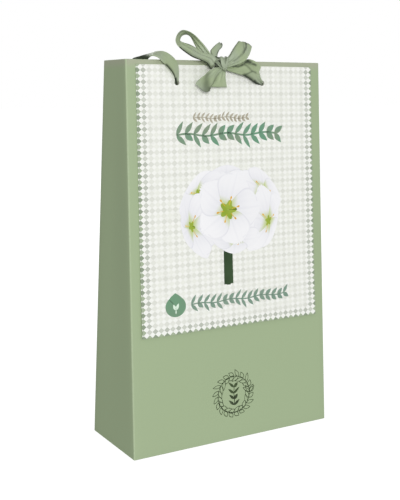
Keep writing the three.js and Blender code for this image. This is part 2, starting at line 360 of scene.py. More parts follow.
@dataclass(frozen=True)
class CheckedPrint(Finish):
    """A silk paper print of white diamonds, with a woven look between them that darkens at the sides."""

    width: float
    height: float
    columns: int = 31
    rows: int = 46
    first_column: float = 4.1
    first_row: float = 2.5
    last_column: float = 3.3
    last_row: float = 2.9
    white: str = "#fbfcf7"
    inner: tuple[str, str] = ("#f1f3ea", "#e1e3da")
    second: tuple[str, str] = ("#d2d6cb", "#c0c5b9")
    outer: tuple[str, str] = ("#abb99d", "#92a088")
    crisp_rim: tuple[float, float] = (0.45, 0.55)
    soft_rim: tuple[float, float] = (0.32, 0.58)
    patches: float = 75.0
    patch_edges: tuple[float, float] = (0.45, 0.7)
    patch_tone: float = 0.45
    drifts: float = 60.0
    drift_tone: float = 0.4
    row_tone: float = 0.5
    column_tone: float = 0.4
    grain: float = 1600.0
    grain_height: float = 0.000012
    grain_roughness: float = 0.1

    def dress(self, graph: MaterialGraph) -> None:
        """Draws the diamonds from the sheet's UV map, which runs over the sheet from 0 to 1.

        Args:
            graph: The material's graph.
        """
        spot, place = graph.get("ShaderNodeUVMap"), graph.place()
        step_x = (self.width - self.first_column - self.last_column) / self.columns
        step_y = (self.height - self.first_row - self.last_row) / self.rows
        a = (graph.axis(spot, "X") * self.width - self.first_column) / step_x
        b = ((1.0 - graph.axis(spot, "Y")) * self.height - self.first_row) / step_y
        from_white = abs(a - graph.maths("ROUND", a)) + abs(b - graph.maths("ROUND", b))
        column, row = graph.maths("FLOOR", a), graph.maths("FLOOR", b)
        sides, foot = graph.maths("MINIMUM", column + 1.0, self.columns - column), self.rows - row
        ring, beside = graph.maths("MINIMUM", sides, foot), sides < foot + 0.5
        patch = graph.smooth(graph.noise(place, self.patches), *self.patch_edges) * self.patch_tone
        soft = graph.maths("MAXIMUM", graph.smooth(from_white, *self.soft_rim), patch)
        tinted = graph.smooth(from_white, *self.crisp_rim)
        tinted = tinted + (ring > 1.5) * (soft - tinted)
        even_row, odd_column = 1.0 - row % 2.0, column % 2.0
        drift = (graph.noise(place, self.drifts) - 0.5) * self.drift_tone
        dark = even_row * beside + odd_column * (1.0 - beside) + drift
        share = even_row * self.row_tone + odd_column * self.column_tone + drift
        tint = graph.mixed(share, *self.inner)
        for last_ring, pair in ((1.5, self.second), (0.5, self.outer)):
            tint = graph.mix(ring < last_ring, tint, graph.mixed(dark, *pair))
        graph.paint("Base Color", graph.mix(tinted, linear(self.white), tint))
        fibre = graph.noise(place, self.grain, 3.0)
        graph.paint("Roughness", self.roughness + (fibre - 0.5) * self.grain_roughness)
        graph.bump(fibre, self.grain_height)


@dataclass(frozen=True)
class PetalPrint(Finish):
    """The printed picture of a petal: white, greener at its foot, with faint veins and a shaded rim."""

    white: str = "#fbfbfd"
    shade: str = "#d9dae3"
    green: str = "#c3d37c"
    veins: float = 19.0
    vein_lean: float = 1.5
    vein_tone: float = 0.1
    rib_width: float = 0.1
    rib_tone: float = 0.1
    depth_edges: tuple[float, float] = (0.1, 0.75)
    depth_tone: float = 0.3
    rim_start: float = 0.86
    rim_tone: float = 0.34
    foot_edges: tuple[float, float] = (0.08, 0.34)
    foot_tone: float = 0.85
    grain: float = 1600.0
    grain_height: float = 0.000012

    def dress(self, graph: MaterialGraph) -> None:
        """Paints by the petal's own along, across and tone values.

        Args:
            graph: The material's graph.
        """
        along, across, tone = (graph.attribute(name) for name in ("along", "across", "tone"))
        vein = graph.maths("SINE", across * self.veins + along * self.vein_lean) * 0.5 + 0.5
        rib = 1.0 - graph.smooth(abs(across), 0.0, self.rib_width)
        depth = 1.0 - graph.smooth(along, *self.depth_edges)
        rim = graph.smooth(abs(across), self.rim_start, 1.0)
        share = depth * self.depth_tone + vein * self.vein_tone * (1.0 - along) + rib * self.rib_tone
        colour = graph.mixed(share + rim * self.rim_tone + tone, self.white, self.shade)
        foot = (1.0 - graph.smooth(along, *self.foot_edges)) * self.foot_tone
        graph.paint("Base Color", graph.mix(foot, colour, linear(self.green)))
        graph.bump(graph.noise(graph.place(), self.grain, 3.0), self.grain_height)


@dataclass(frozen=True)
class Ink(Finish):
    """Printed ink that drifts between two colours."""

    colour: str
    other: str
    drift: float = 45.0
    drift_edges: tuple[float, float] = (0.3, 0.7)
    grain: float = 1500.0
    grain_height: float = 0.000012
    grain_tone: float = 0.3

    def dress(self, graph: MaterialGraph) -> None:
        """Mixes the two colours over the print.

        Args:
            graph: The material's graph.
        """
        grain = graph.noise(graph.place(), self.grain, 3.0)
        drift = graph.smooth(graph.noise(graph.place(), self.drift), *self.drift_edges)
        share = drift + (grain - 0.5) * self.grain_tone
        graph.paint("Base Color", graph.mixed(share, self.colour, self.other))
        graph.bump(grain, self.grain_height)


@dataclass(frozen=True)
class Satin(Finish):
    """Satin ribbon: fine threads, a soft sheen, painted sheen streaks and painted shade in its folds."""

    colour: str
    cool: str
    # The colour of the painted shade in folds, hollows and edges.
    dark: str
    threads: float = 46.0
    thread_tone: float = 0.025
    thread_roughness: float = 0.03
    wefts: float = 9000.0
    weft_tone: float = 0.015
    weave_height: float = 0.00002
    streaks: tuple[float, float] = (40.0, 5.0)
    sheen_streak_tone: float = 0.22
    streak_roughness: float = 0.2
    patches: float = 48.0
    patch_edges: tuple[float, float] = (0.35, 0.65)
    sheen: float = 0.2
    sheen_roughness: float = 0.4

    def dress(self, graph: MaterialGraph) -> None:
        """Weaves by the UV map, whose U runs along the ribbon in metres and V across it from 0 to 1.

        Args:
            graph: The material's graph.
        """
        spot = graph.get("ShaderNodeUVMap")
        along, across = graph.axis(spot, "X"), graph.axis(spot, "Y")
        thread = graph.maths("SINE", across * (self.threads * 2 * math.pi))
        weft = graph.maths("SINE", along * self.wefts)
        # Streaks along the ribbon lighten and darken the base colour as painted sheen, and vary the
        # roughness.
        drawn = graph.vector(along * self.streaks[0], across * self.streaks[1])
        streak = graph.noise(drawn, 2.0) - 0.5
        cooler = graph.smooth(graph.noise(graph.place(), self.patches, 1.0), *self.patch_edges)
        dye = graph.mixed(cooler, self.colour, self.cool)
        cloth = (1.0 + streak * self.sheen_streak_tone + thread * self.thread_tone + weft * self.weft_tone) * dye
        # The "shade" values are painted shade: creases, hollows, the knot and edges away from the light go to
        # the dark colour.
        tone = graph.attribute("shade")
        graph.paint("Base Color", graph.mix(tone, cloth, linear(self.dark)))
        gloss = self.roughness + streak * self.streak_roughness + thread * self.thread_roughness
        graph.paint("Roughness", gloss)
        graph.paint("Sheen Weight", self.sheen)
        graph.paint("Sheen Roughness", self.sheen_roughness)
        graph.bump(thread * 0.6 + weft * 0.4, self.weave_height)


@dataclass(frozen=True)
class StudioFloor(Finish):
    """A bright floor, lit enough by itself that only a faint shadow is left on it."""

    glow: float = 0.965
    colour: float = 0.14

    def dress(self, graph: MaterialGraph) -> None:
        """Sets the glow.

        Args:
            graph: The material's graph.
        """
        graph.paint("Base Color", (self.colour, self.colour, self.colour, 1.0))
        graph.paint("Emission Color", (1.0, 1.0, 1.0, 1.0))
        graph.paint("Emission Strength", self.glow)


# Its second colour is the paler folds: partly wear, partly painted highlight.
GREEN_CARD = ColouredCard("green_card", 0.68, "#a6b892", "#b0c19d", "#aeb59b")
CARD_BACK = RawBoard("card_back", 0.85, "#e4e2d8", "#cfcabb")
GREY_BOARD = RawBoard("grey_board", 0.9, "#aca596", "#8b8475")
PETALS = PetalPrint("petal_print", 0.45)
EYE_GREEN = Ink("flower_eye", 0.45, "#a9bd45", "#88a41c")
ANTHERS = Ink("anthers", 0.45, "#f0c23c", "#e0a526")
LEAF_DARK = Ink("dark_leaf", 0.45, "#25401c", "#33502a")
INK_GREY = Ink("grey_ink", 0.45, "#aaa48e", "#b9b3a0")
INK_GREEN = Ink("green_ink", 0.45, "#6a9c7e", "#84987f")
INK_SLATE = Ink("slate_ink", 0.45, "#7a9886", "#859e8c")
INK_BADGE = Ink("badge_ink", 0.45, "#709d7b", "#7d937c")
INK_PALE = Ink("pale_ink", 0.45, "#e9fbe9", "#dcf3dd")
INK_LINE = Ink("line_ink", 0.6, "#3d4f2a", "#2f3d22")
# Its third colour is the painted shade of the ribbon's folds, hollows and edges.
SATIN = Satin("satin_ribbon", 0.46, "#a6b68f", "#a6b399", "#13230a")
FLOOR = StudioFloor("studio_floor", 0.9)


# ---- Meshes ----


class Draft:
    """Gathers closed sheets into one mesh, with a UV map and numbers on its points."""

    def __init__(self) -> None:
        """Starts empty."""
        self.points: list[np.ndarray] = []
        self.faces: list[list[int]] = []
        self.face_materials: list[int] = []
        self.values: dict[str, list[np.ndarray]] = {}
        self.count = 0

    def sheet(self, front: np.ndarray, back: np.ndarray, material: int = 0, **values: np.ndarray) -> None:
        """Adds a closed sheet between two grids of points.

        Args:
            front: Points of the front face, rows by columns by 3.
            back: Points of the back face, in the same order.
            material: The number of its material.
            values: Numbers for the points, each rows by columns, or a pair of them for the front and
                the back. "u" and "v" make the UV map. A draft's sheets all have the same ones.
        """
        rows, columns = front.shape[:2]
        size = rows * columns
        top = np.arange(size).reshape(rows, columns) + self.count
        low = top + size
        new: list[list[int]] = []
        for r in range(rows - 1):
            for c in range(columns - 1):
                new.append([top[r, c], top[r, c + 1], top[r + 1, c + 1], top[r + 1, c]])
                new.append([low[r + 1, c], low[r + 1, c + 1], low[r, c + 1], low[r, c]])
        loop = [(0, c) for c in range(columns)] + [(r, columns - 1) for r in range(1, rows)]
        loop += [(rows - 1, c) for c in range(columns - 2, -1, -1)] + [(r, 0) for r in range(rows - 2, 0, -1)]
        for first, second in zip(loop, loop[1:] + loop[:1]):
            new.append([top[second], top[first], low[first], low[second]])
        self.faces += new
        self.face_materials += [material] * len(new)
        self.points += [front.reshape(-1, 3), back.reshape(-1, 3)]
        for name, value in values.items():
            pair = value if isinstance(value, tuple) else (value, value)
            parts = self.values.setdefault(name, [])
            parts += [np.broadcast_to(x, (rows, columns)).reshape(-1) for x in pair]
        self.count += 2 * size

    def mesh(
        self, name: str, materials: Sequence[bpy.types.Material], merge: float = TINY
    ) -> bpy.types.Mesh:
        """Makes the mesh, with its doubles merged and its faces outwards.

        Args:
            name: The mesh's name.
            materials: Its materials.
            merge: Points nearer than this become one.

        Returns:
            The mesh.
        """
        mesh = bpy.data.meshes.new(name)
        mesh.from_pydata(np.concatenate(self.points).tolist(), [], self.faces)
        mesh.polygons.foreach_set("material_index", self.face_materials)
        for material in materials:
            mesh.materials.append(material)
        whole = {key: np.concatenate(parts).astype(np.float32) for key, parts in self.values.items()}
        for key, numbers in whole.items():
            if key not in ("u", "v"):
                mesh.attributes.new(key, "FLOAT", "POINT").data.foreach_set("value", numbers)
        if "u" in whole:
            corner = np.zeros(len(mesh.loops), np.int32)
            mesh.loops.foreach_get("vertex_index", corner)
            pairs = np.stack([whole["u"][corner], whole["v"][corner]], -1)
            mesh.uv_layers.new(name="UVMap").data.foreach_set("uv", pairs.ravel())
        tidy_mesh(mesh, merge)
        return mesh


def tidy_mesh(mesh: bpy.types.Mesh, merge: float = TINY, turn_out: bool = True, sharp: float = 35.0) -> None:
    """Merges doubles, drops empty faces, turns the faces outwards and shades the mesh smooth.

    Args:
        mesh: The mesh to change.
        merge: Points nearer than this become one.
        turn_out: Whether the faces' sides are worked out again.
        sharp: Edges that turn by more than this many degrees stay sharp.
    """
    work = bmesh.new()
    work.from_mesh(mesh)
    bmesh.ops.remove_doubles(work, verts=work.verts, dist=merge)
    bmesh.ops.dissolve_degenerate(work, edges=work.edges, dist=merge / 10)
    if turn_out:
        bmesh.ops.recalc_face_normals(work, faces=work.faces)
    for face in work.faces:
        face.smooth = True
    for edge in work.edges:
        edge.smooth = edge.calc_face_angle(0.0) < math.radians(sharp)
    work.to_mesh(mesh)
    work.free()
    mesh.update()


def new_piece(name: str, data: bpy.types.ID) -> bpy.types.Object:
    """Puts a mesh, a light or a camera into the scene at the origin.

    Args:
        name: The object's name.
        data: What it shows.

    Returns:
        The object.
    """
    piece = bpy.data.objects.new(name, data)
    bpy.context.scene.collection.objects.link(piece)
    return piece


def bake(piece: bpy.types.Object) -> None:
    """Applies the piece's modifiers to its mesh.

    Args:
        piece: The piece.
    """
    bpy.context.view_layer.update()
    state = bpy.context.evaluated_depsgraph_get()
    made = bpy.data.meshes.new_from_object(
        piece.evaluated_get(state), preserve_all_data_layers=True, depsgraph=state
    )
    piece.modifiers.clear()
    piece.data = made


def modify(piece: bpy.types.Object, kind: str, **settings: Any) -> None:
    """Changes a piece by one modifier, which is applied.

    Args:
        piece: The piece.
        kind: The modifier's type.
        settings: Its properties.
    """
    change = piece.modifiers.new("change", kind)
    for name, value in settings.items():
        setattr(change, name, value)
    bake(piece)


def grow(
    name: str, seed_mesh: bpy.types.Mesh, tree: bpy.types.NodeTree, sizes: dict[str, Any]
) -> bpy.types.Mesh:
    """Runs a Geometry Nodes tree on a mesh.

    Args:
        name: The name of the result.
        seed_mesh: The mesh that the tree starts from.
        tree: The tree.
        sizes: The tree's inputs by name.

    Returns:
        The result as a plain mesh.
    """
    holder = new_piece(name, seed_mesh)
    change = holder.modifiers.new("grow", "NODES")
    change.node_group = tree
    for item in tree.interface.items_tree:
        if item.item_type == "SOCKET" and item.in_out == "INPUT" and item.name in sizes:
            change[item.identifier] = sizes[item.name]
    bake(holder)
    mesh = holder.data
    bpy.data.objects.remove(holder)
    mesh.name = name
    return mesh


class GeometryTree(Graph):
    """A Geometry Nodes tree. Its inputs are the geometry, its sizes by name and a material."""

    def __init__(self, name: str, numbers: Iterable[str], whole: str) -> None:
        """Starts the tree.

        Args:
            name: The tree's name.
            numbers: The names of its sizes.
            whole: The name of the one that is a whole number.
        """
        super().__init__(bpy.data.node_groups.new(name, "GeometryNodeTree"))
        sockets = {"Geometry": "NodeSocketGeometry"} | dict.fromkeys(numbers, "NodeSocketFloat")
        sockets |= {whole: "NodeSocketInt", "Material": "NodeSocketMaterial"}
        for key, kind in sockets.items():
            self.tree.interface.new_socket(key, in_out="INPUT", socket_type=kind)
        self.tree.interface.new_socket("Geometry", in_out="OUTPUT", socket_type="NodeSocketGeometry")
        source = self.add("NodeGroupInput")
        self.given = {s.name: Term(self, s) for s in source.outputs if s.name}
        self.output = self.add("NodeGroupOutput")

    def spot(self) -> Term:
        """Gives the place of each point."""
        return self.get("GeometryNodeInputPosition")

    def moved(self, shape: Term, place: Term) -> Term:
        """Gives a geometry with its points at new places."""
        return self.get("GeometryNodeSetPosition", 0, {"Geometry": shape, "Position": place})

    def joined(self, shapes: Iterable[Term]) -> Term:
        """Joins geometries.

        Args:
            shapes: The geometries.

        Returns:
            One geometry.
        """
        join = self.add("GeometryNodeJoinGeometry")
        for shape in shapes:
            self.feed(join.inputs[0], shape)
        return Term(self, join.outputs[0])

    def end(self, shape: Term) -> bpy.types.NodeTree:
        """Ends the tree with Realize Instances and Set Material.

        Args:
            shape: The geometry so far.

        Returns:
            The tree.
        """
        real = self.get("GeometryNodeRealizeInstances", 0, {0: shape})
        inputs = {"Geometry": real, "Material": self.given["Material"]}
        self.feed(self.output.inputs[0], self.get("GeometryNodeSetMaterial", 0, inputs))
        return self.tree


def seat(piece: bpy.types.Object, slot: str, *nodes: str) -> None:
    """Makes a piece ride on the bag's body.

    Args:
        piece: The finished piece.
        slot: The name of a material slot for the piece; it is not used.
        nodes: The CAD nodes that it stands for.
    """
    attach(piece, "root")
    if nodes:
        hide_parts(*nodes)
    LOG.info("%s: %d faces", piece.name, len(piece.data.polygons))


# ---- The bag ----


class Side(Enum):
    """The two wide panels, by the way that each faces in Y."""

    FRONT = -1
    BACK = 1


@dataclass(frozen=True)
class Panel:
    """The frame of one wide panel, in metres: the ends of its middle line, and its outward side in Y."""

    top: tuple[float, float, float]
    bottom: tuple[float, float, float]
    outward: int

    def at(self, along: Any, up: Any, out: Any) -> np.ndarray:
        """Gives places on the panel.

        Args:
            along: Millimetres from the middle line, a number or an array.
            up: Millimetres above the top edge.
            out: Millimetres away from the outside face.

        Returns:
            The points in metres, their coordinates in the last axis.
        """
        upward = np.subtract(self.top, self.bottom)
        upward = upward / np.linalg.norm(upward)
        normal = self.outward * np.array([0.0, upward[2], -upward[1]])
        along, up, out = (np.asarray(x, float)[..., None] * MM for x in (along, up, out))
        return np.asarray(self.top) + along * np.array([1.0, 0.0, 0.0]) + up * upward + out * normal


@dataclass(frozen=True)
class BagShape:
    """The bag's outside form, in metres: the base and height of the frame, and the mouth's own size."""

    base_width: float
    base_depth: float
    height: float
    mouth_width: float = 0.214
    mouth_depth: float = 0.046
    mouth_shift: float = -0.006

    @classmethod
    def from_frame(cls) -> "BagShape":
        """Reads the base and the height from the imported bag."""
        low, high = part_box("bag")
        return cls(high.x - low.x, high.y - low.y, high.z)

    def panel(self, side: Side) -> Panel:
        """Gives the frame of one wide panel."""
        top = self.mouth_shift + side.value * self.mouth_depth / 2
        return Panel((0.0, top, self.height), (0.0, side.value * self.base_depth / 2, 0.0), side.value)


@dataclass(frozen=True)
class Holes:
    """The punched ribbon holes, in millimetres on a wide panel."""

    left: float = -56.0
    right: float = 37.5
    up: float = -20.6
    radius: float = 2.5
    reach: float = 6.0
    sides: int = 40

    def punch(self, piece: bpy.types.Object, panels: Iterable[Panel], edge: bpy.types.Material) -> None:
        """Cuts the round holes of the given panels through a piece.

        Args:
            piece: The piece.
            panels: The panels.
            edge: What the cut edges show.
        """
        work = bmesh.new()
        for panel in panels:
            for along in (self.left, self.right):
                inside, outside = (Vector(panel.at(along, self.up, s * self.reach)) for s in (-1, 1))
                turn = (outside - inside).to_track_quat("Z", "Y").to_matrix().to_4x4()
                bmesh.ops.create_cone(
                    work,
                    cap_ends=True,
                    segments=self.sides,
                    radius1=self.radius * MM,
                    radius2=self.radius * MM,
                    depth=(outside - inside).length,
                    matrix=Matrix.Translation((inside + outside) / 2) @ turn,
                )
        mesh = bpy.data.meshes.new("punches")
        work.to_mesh(mesh)
        work.free()
        mesh.materials.append(edge)
        punches = new_piece("punches", mesh)
        modify(piece, "BOOLEAN", operation="DIFFERENCE", solver="EXACT", object=punches)
        bpy.data.objects.remove(punches)


@dataclass
class CardBag:
    """The folded and glued bag, in metres."""

    shape: BagShape
    holes: Holes
    card: float = 0.0006
    top_fold: float = 0.00065
    bottom_fold: float = 0.0008
    corner: float = 0.0014
    hem: float = 0.040
    slack: float = 0.0008
    back_ease: float = 0.7
    glue_flap: float = 0.014
    flap_card: float = 0.0005
    flap_start: float = 0.004
    flap_side_gap: float = 0.00015
    flap_back_gap: float = 0.00005
    flap_rows: int = 24
    seam: float = 0.012
    side_reach: float = 0.8
    fit: float = 0.0001
    ply_gap: float = 0.00004
    arc_steps: int = 5
    wide_steps: int = 30
    narrow_steps: int = 12
    rows: tuple[int, int, int, int] = (4, 46, 8, 5)

    def ring(self) -> bpy.types.Mesh:
        """Draws the bag's outline at its base as a ring of points.

        Returns:
            A mesh of points only, each with the same point's place at the mouth, the way inwards,
            how far along a fold it is and how slack its panel is there.
        """
        base, mouth, inward, fold, slack = [], [], [], [], []
        sizes = (
            (self.shape.base_width / 2, self.shape.base_depth / 2, 0.0, base),
            (self.shape.mouth_width / 2, self.shape.mouth_depth / 2, self.shape.mouth_shift, mouth),
        )
        quarters = ((1, 1), (-1, 1), (-1, -1), (1, -1))
        wide, narrow = self.wide_steps, self.narrow_steps
        panels = ((wide, self.back_ease), (narrow, 1.0), (wide, 0.0), (narrow, 1.0))
        for q, (steps, ease) in enumerate(panels):
            spots = [(i / self.arc_steps, 0.0) for i in range(self.arc_steps + 1)]
            spots += [(1.0, i / steps) for i in range(1, steps)]
            for turn, share in spots:
                angle = math.radians(90 * (q + turn))
                way = np.array([math.cos(angle), math.sin(angle)])
                for half_x, half_y, shift, ring in sizes:
                    inset = np.array([half_x - self.corner, half_y - self.corner])
                    start, end = inset * quarters[q], inset * quarters[(q + 1) % 4]
                    ring.append(start + (end - start) * share + self.corner * way + (0.0, shift))
                inward.append(-way)
                fold.append(float(0 < turn < 1))
                slack.append(ease * math.sin(math.pi * share) ** 2)
        mesh = bpy.data.meshes.new("bag_outline")
        mesh.from_pydata([(x, y, 0.0) for x, y in base], [], [])
        for name, values in (("mouth", mouth), ("inward", inward)):
            flat = [c for x, y in values for c in (x, y, 0.0)]
            mesh.attributes.new(name, "FLOAT_VECTOR", "POINT").data.foreach_set("vector", flat)
        for name, values in (("fold_ring", fold), ("slack", slack)):
            mesh.attributes.new(name, "FLOAT", "POINT").data.foreach_set("value", values)
        return mesh

    def tree(self) -> bpy.types.NodeTree:
        """Builds the tree that carries the outline up the walls, over the top fold and down the hem.

        Returns:
            The tree. Its geometry is the ring that ring() draws.
        """
        numbers = ("Height", "Hem", "Top Fold", "Bottom Fold", "Slack")
        graph = GeometryTree("folded_bag_wall", numbers, "Columns")
        given = graph.given
        low, wall, top, hem = self.rows
        total = float(sum(self.rows))
        grid = {"Size X": given["Columns"], "Size Y": total, "Vertices X": given["Columns"] + 1.0}
        grid["Vertices Y"] = int(total) + 1
        sheet = graph.get("GeometryNodeMeshGrid", "Mesh", grid)
        across = graph.axis(graph.spot(), "X") + given["Columns"] * 0.5
        row = graph.axis(graph.spot(), "Y") + total / 2
        column = graph.maths("ROUND", across) % given["Columns"] + 0.1

        def of_ring(value: Term, kind: str) -> Term:
            """Reads a value of the outline at this column."""
            inputs = {"Geometry": given["Geometry"], "Value": value, "Index": column}
            return graph.get("GeometryNodeSampleIndex", "Value", inputs, data_type=kind)

        def named(name: str, kind: str = "FLOAT") -> Term:
            """Reads a named attribute of the outline at this column."""
            node = "GeometryNodeInputNamedAttribute"
            return of_ring(graph.get(node, "Attribute", {"Name": name}, data_type=kind), kind)

        def progress(start: int, length: int) -> Term:
            """Runs from 0 to 1 over the rows from start on."""
            share = (row - float(start)) / float(length)
            return graph.maths("MINIMUM", graph.maths("MAXIMUM", share, 0.0), 1.0)

        rise, fold_start = progress(low, wall), low + wall
        down = progress(fold_start + top, hem)
        quarter = progress(0, low) * (math.pi / 2)
        half = progress(fold_start, top) * math.pi
        top_fold, bottom_fold = given["Top Fold"], given["Bottom Fold"]
        inset = bottom_fold * (1.0 - graph.maths("SINE", quarter))
        inset = inset + top_fold * (1.0 - graph.maths("COSINE", half))
        height = bottom_fold * (1.0 - graph.maths("COSINE", quarter)) + top_fold * graph.maths("SINE", half)
        height = height + rise * (given["Height"] - top_fold - bottom_fold) - down * (given["Hem"] - top_fold)
        share = height / given["Height"]
        ease = named("slack") * given["Slack"] * graph.maths("SINE", share * math.pi)
        base = of_ring(graph.spot(), "FLOAT_VECTOR")
        mouth, inward = named("mouth", "FLOAT_VECTOR"), named("inward", "FLOAT_VECTOR")
        place = base + (mouth - base) * share + inward * (inset + ease) + graph.vector(z=height)
        # The folds and the top fold's crest make the "fold" mask, painted paler on the card: wear and painted
        # highlight.
        crest = graph.smooth(row, fold_start + 0.5, fold_start + 2.5) * (row < fold_start + top - 1.0)
        fold_wear_and_highlight = graph.maths("MAXIMUM", named("fold_ring"), crest)
        inputs = {"Geometry": sheet, "Name": "fold", "Value": fold_wear_and_highlight}
        stored = graph.get("GeometryNodeStoreNamedAttribute", 0, inputs, data_type="FLOAT", domain="POINT")
        inputs = {"Geometry": graph.moved(stored, place), "Distance": TINY}
        return graph.end(graph.get("GeometryNodeMergeByDistance", 0, inputs))

    def walls(self, outer: bpy.types.Material, inner: bpy.types.Material) -> bpy.types.Object:
        """Makes the walls with their folded hem and punched holes.

        Args:
            outer: The printed side of the card.
            inner: Its unprinted side and cut edges.

        Returns:
            The walls.
        """
        ring = self.ring()
        sizes = {
            "Height": self.shape.height,
            "Hem": self.hem,
            "Top Fold": self.top_fold,
            "Bottom Fold": self.bottom_fold,
            "Slack": self.slack,
            "Columns": len(ring.vertices),
            "Material": outer,
        }
        mesh = grow("bag_walls", ring, self.tree(), sizes)
        mesh.materials.clear()
        for material in (outer, inner):
            mesh.materials.append(material)
        tidy_mesh(mesh, turn_out=False)
        walls = new_piece("bag_walls", mesh)
        modify(walls, "SOLIDIFY", thickness=self.card, offset=-1.0, material_offset=1, material_offset_rim=1)
        self.holes.punch(walls, [self.shape.panel(side) for side in Side], inner)
        return walls

    def flaps(self, materials: Sequence[bpy.types.Material]) -> bpy.types.Object:
        """Makes the base of crossed flaps, and the flap that closes the sheet.

        Args:
            materials: The printed and the unprinted side.

        Returns:
            The flaps as one object.
        """
        half_x = self.shape.base_width / 2 - self.bottom_fold - self.fit
        half_y = self.shape.base_depth / 2 - self.bottom_fold - self.fit
        layers = []
        for side in (1, -1):
            reach, edge, tip = half_y + self.seam * side, half_y * side, -self.seam * side
            layers.append(((-half_x, edge), (half_x, edge), (half_x - reach, tip), (reach - half_x, tip)))
        for side in (-1, 1):
            edge, tip, half = half_x * side, half_x / 2 * side, half_y * self.side_reach
            layers.append(((edge, -half_y), (edge, half_y), (tip, half), (tip, -half)))
        draft = Draft()
        step = self.card - 2 * self.ply_gap
        for i, (a, b, c, d) in enumerate(layers):
            level = min(i, 2) * step
            grid = np.concatenate([np.array([[a, b], [d, c]]), np.full((2, 2, 1), level)], -1)
            draft.sheet(grid, grid + (0.0, 0.0, step - self.ply_gap))
        low, high = self.flap_start - self.shape.height, self.flap_start - self.hem
        ups = np.linspace(low, high, self.flap_rows) / MM
        share = 1 + ups * MM / self.shape.height
        side = (self.shape.base_width + (self.shape.mouth_width - self.shape.base_width) * share) / 2 / MM
        near = side - (self.card + self.flap_side_gap) / MM
        along = np.stack([near - self.glue_flap / MM, near - self.glue_flap / MM / 2, near], -1)
        gap, back = self.card + self.slack + self.flap_back_gap, self.shape.panel(Side.BACK)
        layers = (back.at(along, ups[:, None], -depth / MM) for depth in (gap, gap + self.flap_card))
        draft.sheet(*layers, 1)
        return new_piece("bag_flaps", draft.mesh("bag_flaps", materials))

    def build(self) -> None:
        """Makes the whole bag as one piece and seats it."""
        outer, inner = GREEN_CARD.material(), CARD_BACK.material()
        walls, flaps = self.walls(outer, inner), self.flaps((outer, inner))
        work = bmesh.new()
        work.from_mesh(walls.data)
        work.from_mesh(flaps.data)
        work.to_mesh(walls.data)
        work.free()
        bpy.data.objects.remove(flaps)
        tidy_mesh(walls.data, turn_out=False, sharp=50.0)
        walls.name = "card_bag"
        seat(walls, "green_card", "bag")

    def dress_board(self) -> None:
        """Gives the loose board in the base its finish."""
        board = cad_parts["base_board"]
        board.data.materials.clear()
        board.data.materials.append(GREY_BOARD.material())
        LOG.info("base_board: %d faces", len(board.data.polygons))


# ---- The printed card ----


@dataclass
class FaceCard:
    """The printed card that hangs on the front panel by the ribbon, in millimetres."""

    panel: Panel
    holes: Holes
    centre: float
    bottom_width: float
    top: float
    bottom: float
    top_width: float = 193.0
    gap: float = 0.3
    thickness: float = 0.5
    bottom_lift: float = 1.5
    side_lift: float = 0.8
    columns: int = 60
    rows: int = 80

    @classmethod
    def from_frame(cls, shape: BagShape, holes: Holes) -> "FaceCard":
        """Takes the card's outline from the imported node.

        Args:
            shape: The bag's form.
            holes: The ribbon's holes.

        Returns:
            The card.
        """
        panel = shape.panel(Side.FRONT)
        low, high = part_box("face_card")
        slant = (panel.at(0, 1, 0) - panel.at(0, 0, 0))[2] / MM
        top, bottom = ((z - shape.height) / MM / slant for z in (high.z, low.z))
        return cls(panel, holes, (low.x + high.x) / 2 / MM, (high.x - low.x) / MM, top, bottom)

    def half(self, up: Any) -> np.ndarray:
        """Gives half the card's width at a height."""
        share = (np.asarray(up, float) - self.bottom) / (self.top - self.bottom)
        return (self.bottom_width + (self.top_width - self.bottom_width) * share) / 2

    def lift(self, along: Any, up: Any) -> np.ndarray:
        """Says how far the card stands off the panel, which grows to its free bottom and right edges.

        Args:
            along: Millimetres from the panel's middle line.
            up: Millimetres above the panel's top edge.

        Returns:
            The gap in millimetres.
        """
        reach = np.clip((self.top - np.asarray(up, float)) / (self.top - self.bottom), 0, 1)
        side = np.clip(0.5 + (np.asarray(along, float) - self.centre) / self.half(up) / 2, 0, 1)
        return self.gap + self.bottom_lift * reach**5 + self.side_lift * side**6

    def on(self, along: Any, up: Any, out: Any) -> np.ndarray:
        """Gives places on the card's printed face, in metres, each out millimetres above the print."""
        return self.panel.at(along, up, self.lift(along, up) + self.thickness + np.asarray(out, float))

    def build(self) -> None:
        """Makes the sheet with its holes and seats it."""
        width = (self.bottom_width + self.top_width) / 2
        finish = CheckedPrint("checked_print", 0.45, width, self.top - self.bottom)
        print_side, edge = finish.material(), CARD_BACK.material()
        u, v = np.meshgrid(np.linspace(0, 1, self.columns), np.linspace(0, 1, self.rows))
        up = self.bottom + (self.top - self.bottom) * v
        along = self.centre + self.half(up) * (2 * u - 1)
        draft = Draft()
        draft.sheet(self.on(along, up, 0), self.on(along, up, -self.thickness), u=u, v=v)
        sheet = new_piece("face_card_sheet", draft.mesh("face_card_sheet", (print_side, edge)))
        self.holes.punch(sheet, [self.panel], edge)
        tidy_mesh(sheet.data, turn_out=False)
        seat(sheet, "printed_card", "face_card")


# ---- Prints ----


class Leaf(Enum):
    """How a garland's leaves are drawn."""

    FILLED = 0
    LINED = 1


